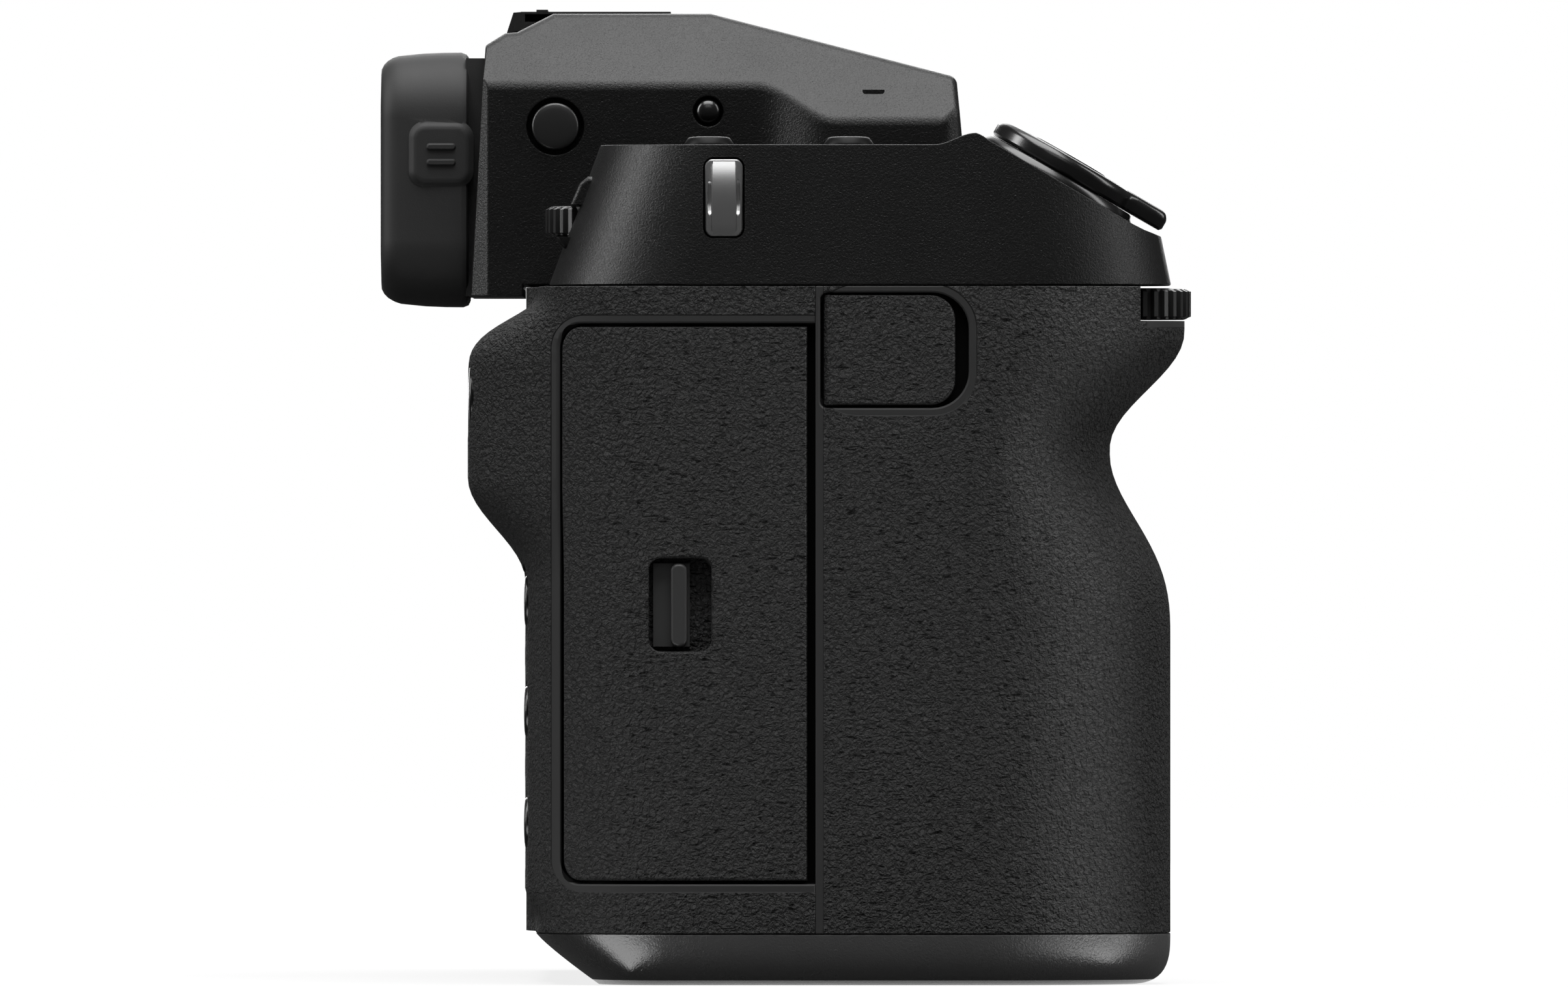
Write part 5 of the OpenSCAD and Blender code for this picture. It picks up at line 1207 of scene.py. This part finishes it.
# %% Openings of the housing
VIEW_Y, VIEW_Z, VIEW_R = 23.6, EVF_Z + 15.4, 2.85
DOME_Y, DOME_Z, DOME_R = 5, EVF_Z + 17.2, 1.45
DIOPTRE_Y, DIOPTRE_Z, DIOPTRE_R = 14, EVF_Z + 11, 5
COVER_Y0, SHOE_SLOT = 9.6, 9.4
NECK_HALF, NECK_H, NECK_Y, NECK_GAP = 18, 22, 31.6, 0.3
SHOE_SLOT_Z = EVF_TOP - 2.1
MIC_Y, MIC_Z, MIC_SLOT = -15.1, EVF_TOP - 9.5, (-1.35, 1.35, -0.4, 0.4)

cut(housing, brick("finder_bore", (-15, 4, EVF_Z + 2.2), (15, EVF_REAR + 2, EVF_Z + 18.7)),
    brick("neck_room", (-NECK_HALF - NECK_GAP, NECK_Y, CUP_Z - NECK_H / 2 - NECK_GAP),
          (NECK_HALF + NECK_GAP, EVF_REAR + 2, CUP_Z + NECK_H / 2 + NECK_GAP)),
    button_well("well", (-EVF_HALF, VIEW_Y, VIEW_Z), VIEW_R + 0.6, 3, "right"),
    brick("shoe_slot", (-SHOE_SLOT, COVER_Y0 - 0.2, SHOE_SLOT_Z), (SHOE_SLOT, 50, EVF_TOP - 0.7)),
    brick("shoe_gap", (-SHOE_SLOT + 2.8, COVER_Y0 - 0.2, SHOE_SLOT_Z), (SHOE_SLOT - 2.8, 50, EVF_TOP + 2)),
    move(rod("dioptre_bore", 1.6, -4.3, 3, 24), (EVF_HALF, DIOPTRE_Y, DIOPTRE_Z), FACING["left"]))
for side, facing in ((-1, "right"), (1, "left")):
    cut(housing, button_well("well", (side * EVF_HALF, DOME_Y, DOME_Z), DOME_R + 0.35, 3, facing))
    mic = prism("mic_slot", rounded(*MIC_SLOT, 0.38), "x", -2.2, 2.2)
    cut(housing, move(mic, (side * (EVF_HALF + FLARE - 1.2), MIC_Y, MIC_Z)))

# %% Radii of the creases
HOLES = [(VIEW_Y, VIEW_Z, 5.0), (DOME_Y, DOME_Z, 3.0), (MIC_Y, MIC_Z, 2.4), (DIOPTRE_Y, DIOPTRE_Z, 2.5)]
FOOT_LINE, REAR_LINE = EVF_Z + 1, EVF_REAR - 2.6


def crease(p):
    """Outer creases of the casting, away from its openings."""
    by_hole = any(abs(p.x) > 20 and math.hypot(p.y - y, p.z - z) < reach for y, z, reach in HOLES)
    in_bore = p.z < EVF_Z + 21 and p.y > 3
    in_shoe = p.z > EVF_TOP - 2.6 and p.y > COVER_Y0 - 1
    return not by_hole and not (abs(p.x) < NECK_HALF + 0.6 and (in_bore or in_shoe))


def upper_crease(p):
    return crease(p) and p.z > FOOT_LINE and p.y < REAR_LINE


def border_crease(p):
    return crease(p) and (p.z < FOOT_LINE or p.y > REAR_LINE)


round_edges(housing, 0.85, sharper=28, steps=4, where=upper_crease)
round_edges(housing, 0.3, sharper=40, where=border_crease)
finish_piece(housing, "fine_grain_paint", "viewfinder", "fine_grain_paint", "evf_housing", sharp=32)

# %% [markdown]
# ## Eyecup
# The eyecup is a soft rubber frame that swells towards the eye, with a window that opens like a funnel. On
# each side it has a raised tab with two ribs to pull it off. Rings of rounded rectangles, closely spaced
# where the lip turns over, give the swollen form.

# %% Rubber rings
CUP_Y0, CUP_DEPTH, CUP_W, CUP_H = EVF_REAR + 0.3, 10.7, 46, 30.9
CUP_R, WINDOW_R = 8, 4
RIM = [(0.8, 0.0), (0.25, 0.25), (0.0, 0.9), (0.02, 3.0), (0.12, 5.5), (0.35, 7.8)]
RIM += arc((2.65, 7.8), (-2.3, 2.9), 15, 75, 4) + [(3.2, CUP_DEPTH)]
FUNNEL = [(27, 15, -1), (28, 16, 2), (30.5, 18, 4.5), (34, 21, 7.5), (36.5, 23.2, 9.6)]
FUNNEL += [(40, 26.5, CUP_DEPTH + 0.4)]


def cup_ring(width, height, out, radius):
    outline = rounded(-width / 2, width / 2, -height / 2, height / 2, radius, 10)
    return [(x, CUP_Y0 + out, CUP_Z + z) for x, z in outline]


cup_rings = [cup_ring(CUP_W - 2 * inset, CUP_H - 2 * inset, out, CUP_R - inset) for inset, out in RIM]
eyecup = loft("rubber_eyecup", cup_rings)
cut(eyecup, loft("cup_window", [cup_ring(*ring, WINDOW_R) for ring in FUNNEL]))

# %% Neck and collar of the eyecup
NECK_END = CUP_Y0 + 0.3

neck = brick("cup_neck", (-NECK_HALF, NECK_Y, CUP_Z - NECK_H / 2), (NECK_HALF, NECK_END, CUP_Z + NECK_H / 2))
low, high = CUP_Z - CUP_H / 2 + 1.2, CUP_Z + CUP_H / 2 - 0.75
(rear_y0, rear_z0), (rear_y1, rear_z1) = side_line[:2]
rear_lean = (rear_y1 - rear_y0) / (rear_z1 - rear_z0)
collar_line = [(NECK_END, low), (NECK_END, high)]
collar_line += [(rear_y0 + (z - rear_z0) * rear_lean + 0.05, z) for z in (high, low)]
join(neck, prism("cup_collar", collar_line, "x", -20, 20))
cut(neck, brick("neck_window", (-13.5, NECK_Y - 1, CUP_Z - 7.5), (13.5, CUP_Y0 + 2, CUP_Z + 7.5)))
join(eyecup, neck)

# %% Pull tabs of the eyecup
TAB = (CUP_Y0 - 0.1, CUP_Y0 + 6.7, CUP_Z - 0.5, CUP_Z + 6.5)
TAB_LAYERS = [(0.55, -3.0), (0.55, -0.13), (0.25, 0.05), (0.05, 0.25), (-0.2, 0.4), (-0.6, 0.47)]
RIB_LAYERS = [(0.12, 0.2), (0.1, 0.45), (0.0, 0.7), (-0.12, 0.82)]
RIB_HALF = 0.35


def pad(name, side, box, radius, layers, count):
    """Raised pad on a side of the eyecup; layers are (grow, distance out) pairs."""
    return loft(name, [[(side * (CUP_W / 2 + out), y, z) for y, z in grown(box, radius, grow, count)]
                       for grow, out in layers])


for side in (-1, 1):
    join(eyecup, pad("pull_tab", side, TAB, 1.5, TAB_LAYERS, 8))
    for z in (CUP_Z + 2, CUP_Z + 3.9):
        rib = (CUP_Y0 + 1.6, CUP_Y0 + 5, z - RIB_HALF, z + RIB_HALF)
        join(eyecup, pad("tab_rib", side, rib, 0.3, RIB_LAYERS, 6))
finish_piece(eyecup, "soft_rubber", "viewfinder", "soft_rubber", "evf_eyecup", sharp=40)

# %% [markdown]
# ## Base
# The base is a shallow tray of painted alloy that curves up into the grip and slants away at the rear. Two
# lofts, one under the grip and one under the body, share the same curve, which is fuller than a quarter
# round, so it runs round the whole foot.

# %% Curved base tray
TUCK, REAR_RUN, LAP = 1.3, 7.6, 8
SIDE_RUN, FINGER_RUN = 4.5, 5.6
FULLNESS, SLANT_BEND, BASE_STEPS, BASE_GAP = 3, 1.15, 14, 0.1
LEFT_FRONT_R, LEFT_REAR_R = 10, 8
BATTERY_DOOR = (-75, -50.9, -37.3, 2.3)
BATTERY_DOOR_T = 2.2
SCREW_PLACES = [(-36, -10), (36, -12), (54, 4), (-36, 10)]


def grip_base(share, rear):
    side, finger = SIDE_RUN * share, FINGER_RUN * share
    plan = [(INNER_X, REAR_Y - rear)]
    plan += arc((NOSE_X, FLAT_Y), (CORNER - side, CORNER - rear), 90, 180, 24)
    plan += arc((NOSE_X, SIDE_FLAT_Y), (CORNER - side, GRIP_FRONT + SIDE_FLAT_Y - finger), 180, 270, 24)
    corner = (NOSE_X + NOSE_W, FINGER_R - GRIP_FRONT)
    return plan + arc(corner, (FINGER_R - side, FINGER_R - finger), 270, 360, 14)


def body_base(share, rear):
    side = SIDE_RUN * share
    plan = [(INNER_X - LAP, FACE_Y + side)]
    plan += arc((LEFT_X - LEFT_FRONT_R, FACE_Y + LEFT_FRONT_R), LEFT_FRONT_R - side, 270, 360, 14)
    corner = (LEFT_X - LEFT_REAR_R, REAR_Y - LEFT_REAR_R)
    plan += arc(corner, (LEFT_REAR_R - side, LEFT_REAR_R - rear), 0, 90, 14)
    return plan + [(INNER_X - LAP, REAR_Y - rear)]


def base_loft(name, plan):
    layers = []
    for i in range(BASE_STEPS, -1, -1):
        t = math.sin(math.radians(90 * i / BASE_STEPS))
        share = 1 - max(0.0, 1 - t ** FULLNESS) ** (1 / FULLNESS)
        z = (BASE_Z - BASE_GAP) * (1 - t)
        layers.append((z, plan(share, TUCK + REAR_RUN * (1 - z / BASE_Z) ** SLANT_BEND)))
    return stack(name, layers)


tray = base_loft("base_tray", grip_base)
join(tray, base_loft("body_tray", body_base))
door_room = grown(BATTERY_DOOR, 2.7, 0.3, 8)
cut(tray, brick("battery_room", BATTERY_LOW, BATTERY_HIGH),
    prism("battery_door_room", door_room, "z", -1, BATTERY_DOOR_T + 0.15), rod("tripod_bore", 5, -1, 10, 48))
for x, y in SCREW_PLACES:
    cut(tray, move(rod("screw_bore", 2.2, -1, 1, 32), (x, y, 0)))
finish_piece(tray, "base_paint", "body", "fine_grain_paint", "base_plate", sharp=32)

# %% [markdown]
# ## Dials
# The dials are turned knobs with straight knurls: flat ribs with chamfered flanks between wider grooves. One
# outline with four points for each rib is lofted up the dial. The ribs fade out at both ends, as a cutter
# leaves them, and the top has a shallow dish.

# %% Ribbed dials
def ribbed_dial(name, radius, height, ribs, depth=0.6, lip=0.4):
    pitch = 360 / ribs
    marks = [(-0.19, 0), (0.19, 0), (0.31, depth), (0.69, depth)]
    points = [(math.radians(pitch * (i + at)), radius - low) for i in range(ribs) for at, low in marks]

    def ring(inset, z):
        reach = radius - inset
        return [(min(r, reach) * math.cos(t), min(r, reach) * math.sin(t), z) for t, r in points]

    dish = radius * 0.38
    sides = [(depth + 0.3, 0), (depth, 0.1), (depth * 0.5, lip * 0.7), (0, lip)]
    hollow = [(dish, height), (dish + 0.25, height - 0.1), (dish + 0.6, height - 0.35)]
    levels = sides + [(inset, height - z) for inset, z in reversed(sides)] + hollow
    return loft(name, [ring(*level) for level in levels + [(radius * 0.75, height - 0.38)]])


KNOBS = [("front", DIAL_R, 3.8, 36, (DIAL_X, DIAL_Y, DIAL_FLOOR + 0.15), "up"),
         ("rear", DIAL_R, 3.6, 36, REAR_DIAL, "up"),
         ("mode", MODE_R, 6, 44, (MODE_X, MODE_Y, LEFT_Z + 0.15), "up"),
         ("dioptre", DIOPTRE_R, 2.6, 24, (EVF_HALF + 0.2, DIOPTRE_Y, DIOPTRE_Z), "left")]
for name, radius, height, ribs, place, facing in KNOBS:
    knob = move(ribbed_dial(name + "_knob", radius, height, ribs), place, FACING[facing])
    finish_piece(knob, "dial_black", name + "_dial", "gloss_black", name + "_dial", sharp=25)

# %% [markdown]
# ## Shutter button and power switch
# The shutter button stands on the slope in a low ring. Around it turns the power switch, a ring with a tab
# for the finger. The ring and its tab are one outline, a circle that runs out into the tab in a soft curve,
# stacked in layers that round its edges.

# %% Base ring, power switch and button
SWITCH_R, SWITCH_STEPS = 9.45, 144
TAB_REACH, TAB_FLAT, TAB_BLEND = 14.0, 7.0, 15.0
BORE_R, BASE_RING_H = SHUTTER_R + BORE_GAP, 0.9


def on_slope(piece, height):
    """Puts a piece on the slope about the shutter button, at a height above it."""
    return move(piece, SHUTTER + LEAN @ Vector((0, 0, height)), LEAN)


ring_line = [(0.9, 0), (0.85, 0.25), (0.55, 0.75), (0.3, BASE_RING_H)]
base_ring = lathe("shutter_ring", [(SWITCH_R + out, h) for out, h in ring_line], 96)
cut(base_ring, rod("ring_bore", BORE_R, -2, 4))
finish_piece(on_slope(base_ring, 0), "gloss_black", "body", "gloss_black", "shutter_base")


def switch_outline():
    """Circle that runs out into a rounded tab at the front."""
    points = []
    for k in range(SWITCH_STEPS):
        turn = 2 * math.pi * k / SWITCH_STEPS
        off = abs((math.degrees(turn) - 270 + 180) % 360 - 180)
        reach = SWITCH_R + (TAB_REACH - SWITCH_R) * (1 - ease((off - TAB_FLAT) / TAB_BLEND))
        points.append((reach * math.cos(turn), reach * math.sin(turn)))
    return points


def inset_outline(points, amount):
    """Moves each point inwards along the normal of the outline."""
    moved = []
    for before, here, after in zip(points[-1:] + points[:-1], points, points[1:] + points[:1]):
        along = Vector((after[0] - before[0], after[1] - before[1])).normalized()
        moved.append((here[0] - along.y * amount, here[1] + along.x * amount))
    return moved


switch_layers = [(0.3, 0.0), (0.0, 0.35), (0.0, 1.3), (0.12, 1.75), (0.42, 2.1), (0.9, 2.3)]
ring = switch_outline()
switch = stack("power_ring", [(h, inset_outline(ring, inset)) for inset, h in switch_layers])
bore_line = [(0, -2), (0, 1.7), (0.3, 2.1), (0.7, 2.32), (0.7, 6)]
cut(switch, lathe("switch_bore", [(BORE_R + out, h) for out, h in bore_line]))
on_slope(switch, BASE_RING_H + 0.1)
finish_piece(switch, "gloss_black", "power_switch", "gloss_black", "power_switch")


def crowned(name, radius, length, dome, soft=0.45):
    """Round button along local Z with its rim at z = 0, a soft edge and a shallow dome."""
    turns = [math.radians(t) for t in (0, 30, 60, 80)]
    edge = [(radius - soft * (1 - math.cos(t)), soft * math.sin(t) - soft) for t in turns]
    crown = [(radius * s, dome * (1 - s * s)) for s in (0.75, 0.5, 0.25, 0.02)]
    return lathe(name, [(radius, -length)] + edge + crown, 64)


cap = on_slope(crowned("shutter_cap", SHUTTER_R, 5, 0.12), BASE_RING_H + 2.6)
finish_piece(cap, "gloss_black", "shutter_button", "gloss_black", "shutter_button")

# %% [markdown]
# ## Push buttons
# Every push button is a turned cap in a well with a soft mouth. The two on the shoulder are cones with a
# flattened dome, the two releases of the viewfinder are beads, and the others are flat with a slight crown.
# Each faces the way its well opens.

# %% Buttons on the shoulder, the rear and the viewfinder
CONE = [(3.0, -1.7), (3.0, 0.02), (2.94, 0.2), (2.6, 0.68)]
CONE += [(2.44, 0.86), (2.1, 0.95), (1.4, 1.0), (0.02, 1.02)]
for y, node in zip(TOP_BUTTON_YS, ("top_button_rear", "top_button_front")):
    cone = move(lathe(node + "_cap", CONE, 48), (TOP_BUTTON_X, y, TOP_Z))
    finish_piece(cone, "button_black", node, "gloss_black", node)

REAR_BUTTONS = ("rear_button_upper", "rear_button_middle", "rear_button_lower")
CAP_LENGTH, CAP_CROWN, CAP_SOFT = 2.4, 0.14, 0.35
CAPS = [(node, (REAR_BUTTON_X, REAR_Y, z), REAR_BUTTON_R, "rear", "gloss_black")
        for node, z in zip(REAR_BUTTONS, REAR_BUTTON_ZS)]
CAPS += [("quick_menu_button", (REAR_BUTTON_X, QUICK_Y, QUICK_Z), QUICK_R, "rear", "gloss_black"),
         ("drive_button", (DRIVE_X, DRIVE_Y, LEFT_Z + 0.7), DRIVE_R, "up", "gloss_black"),
         ("view_mode_button", (-EVF_HALF - 0.6, VIEW_Y, VIEW_Z), VIEW_R, "right", "dial_black")]
for node, place, radius, facing, finish in CAPS:
    button = crowned(node + "_cap", radius, CAP_LENGTH, CAP_CROWN, CAP_SOFT)
    move(button, place, FACING[facing])
    finish_piece(button, finish, node, "gloss_black", node)

BEAD_H, BEAD_SINK = 0.75, 0.35
turns = [math.radians(t) for t in (15, 30, 45, 60, 75, 89)]
dome = [(DOME_R, -2.4), (DOME_R, -BEAD_SINK)]
dome += [(DOME_R * math.cos(t), BEAD_H * math.sin(t) - BEAD_SINK) for t in turns]
for side, node, facing in ((-1, "evf_release_right", "right"), (1, "evf_release_left", "left")):
    bead = move(lathe(node + "_bead", dome, 40), (side * (EVF_HALF + 0.1), DOME_Y, DOME_Z), FACING[facing])
    finish_piece(bead, "gloss_black", node, "gloss_black", node)

# %% [markdown]
# ## Lens contacts
# The camera talks to its lens through nine gold pins in a curved block under the mount. Their block is a
# solid of the frame. Only the rounded gold faces are added here, on the same circle about the lens axis.

# %% Gold faces of the lens contacts
block_lo, block_hi = box_mm("lens_contacts")
CONTACT_SPREAD, CONTACTS = 24, 9
CONTACT_FACE = [(0.74, -0.3), (0.74, 0.0), (0.6, 0.09), (0.02, 0.12)]
contact_r = (AXIS_Z - block_hi.z) / math.cos(math.radians(CONTACT_SPREAD)) + 1.4
for i in range(CONTACTS):
    turn = math.radians(270 - CONTACT_SPREAD + 2 * CONTACT_SPREAD * (i + 0.5) / CONTACTS)
    place = (contact_r * math.cos(turn), block_lo.y, AXIS_Z + contact_r * math.sin(turn))
    face = move(lathe(f"contact_face_{i + 1}", CONTACT_FACE, 24), place, FACING["front"])
    finish_piece(face, "contact_gold", "body", "bright_steel")

# %% [markdown]
# ## Parts that keep their solid
# Shells, frames, the lens mount, the screen and the inner works are right as solids. They keep their mesh
# and get a modifier stack: a weld, a planar clean-up of the triangles, a small bevel on sharp edges and
# even normals. Their finish is one of the materials above.

# %% Dress the remaining solids
PLAIN_BEVEL, SHARP = 0.15, 30.0


def dress(node, finish, bevel):
    piece = nodes[node]
    piece.data.materials.clear()
    piece.data.materials.append(finishes[finish])
    piece.data.shade_smooth()
    weld = piece.modifiers.new("weld", "WELD")
    weld.merge_threshold = 0.002 * MM
    planar = piece.modifiers.new("planar", "DECIMATE")
    planar.decimate_type = "DISSOLVE"
    planar.angle_limit = math.radians(0.5)
    soft = piece.modifiers.new("soft_edges", "BEVEL")
    soft.width = bevel * MM
    soft.segments = 2
    soft.limit_method = "ANGLE"
    soft.angle_limit = math.radians(SHARP)
    soft.harden_normals = False
    even_normals(piece)


FINISH_OF = {
    "body_paint": ["front_shell", "rear_shell", "screen_panel", "screen_bracket", "screen_tilt_frame"],
    "base_paint": ["battery_door"],
    "matte_black": ["shutter_frame", "shutter_leaf_1", "shutter_leaf_2", "battery", "port_block",
                    "remote_socket", "shoe_cover", "lens_contacts"],
    "gloss_black": ["lens_release_button", "focus_button", "focus_stick"],
    "soft_rubber": ["port_cover"],
    "bare_alloy": ["chassis", "sensor_carrier", "card_reader", "hot_shoe", "evf_foot"],
    "bright_steel": ["screws", "tripod_socket", "lens_lock_pin"],
    "mount_steel": ["mount_ring"],
    "dark_glass": ["sub_monitor", "screen_glass", "evf_eyepiece", "evf_display"],
    "circuit_board": ["main_board"],
    "sensor_glass": ["sensor"],
}
FINE = {"screws": 0.05, "lens_lock_pin": 0.1, "mount_ring": 0.12, "screen_glass": 0.05, "sub_monitor": 0.05}
for finish, names in FINISH_OF.items():
    for name in names:
        dress(name, finish, FINE.get(name, PLAIN_BEVEL))
print("dressed", sum(len(names) for names in FINISH_OF.values()), "solids")
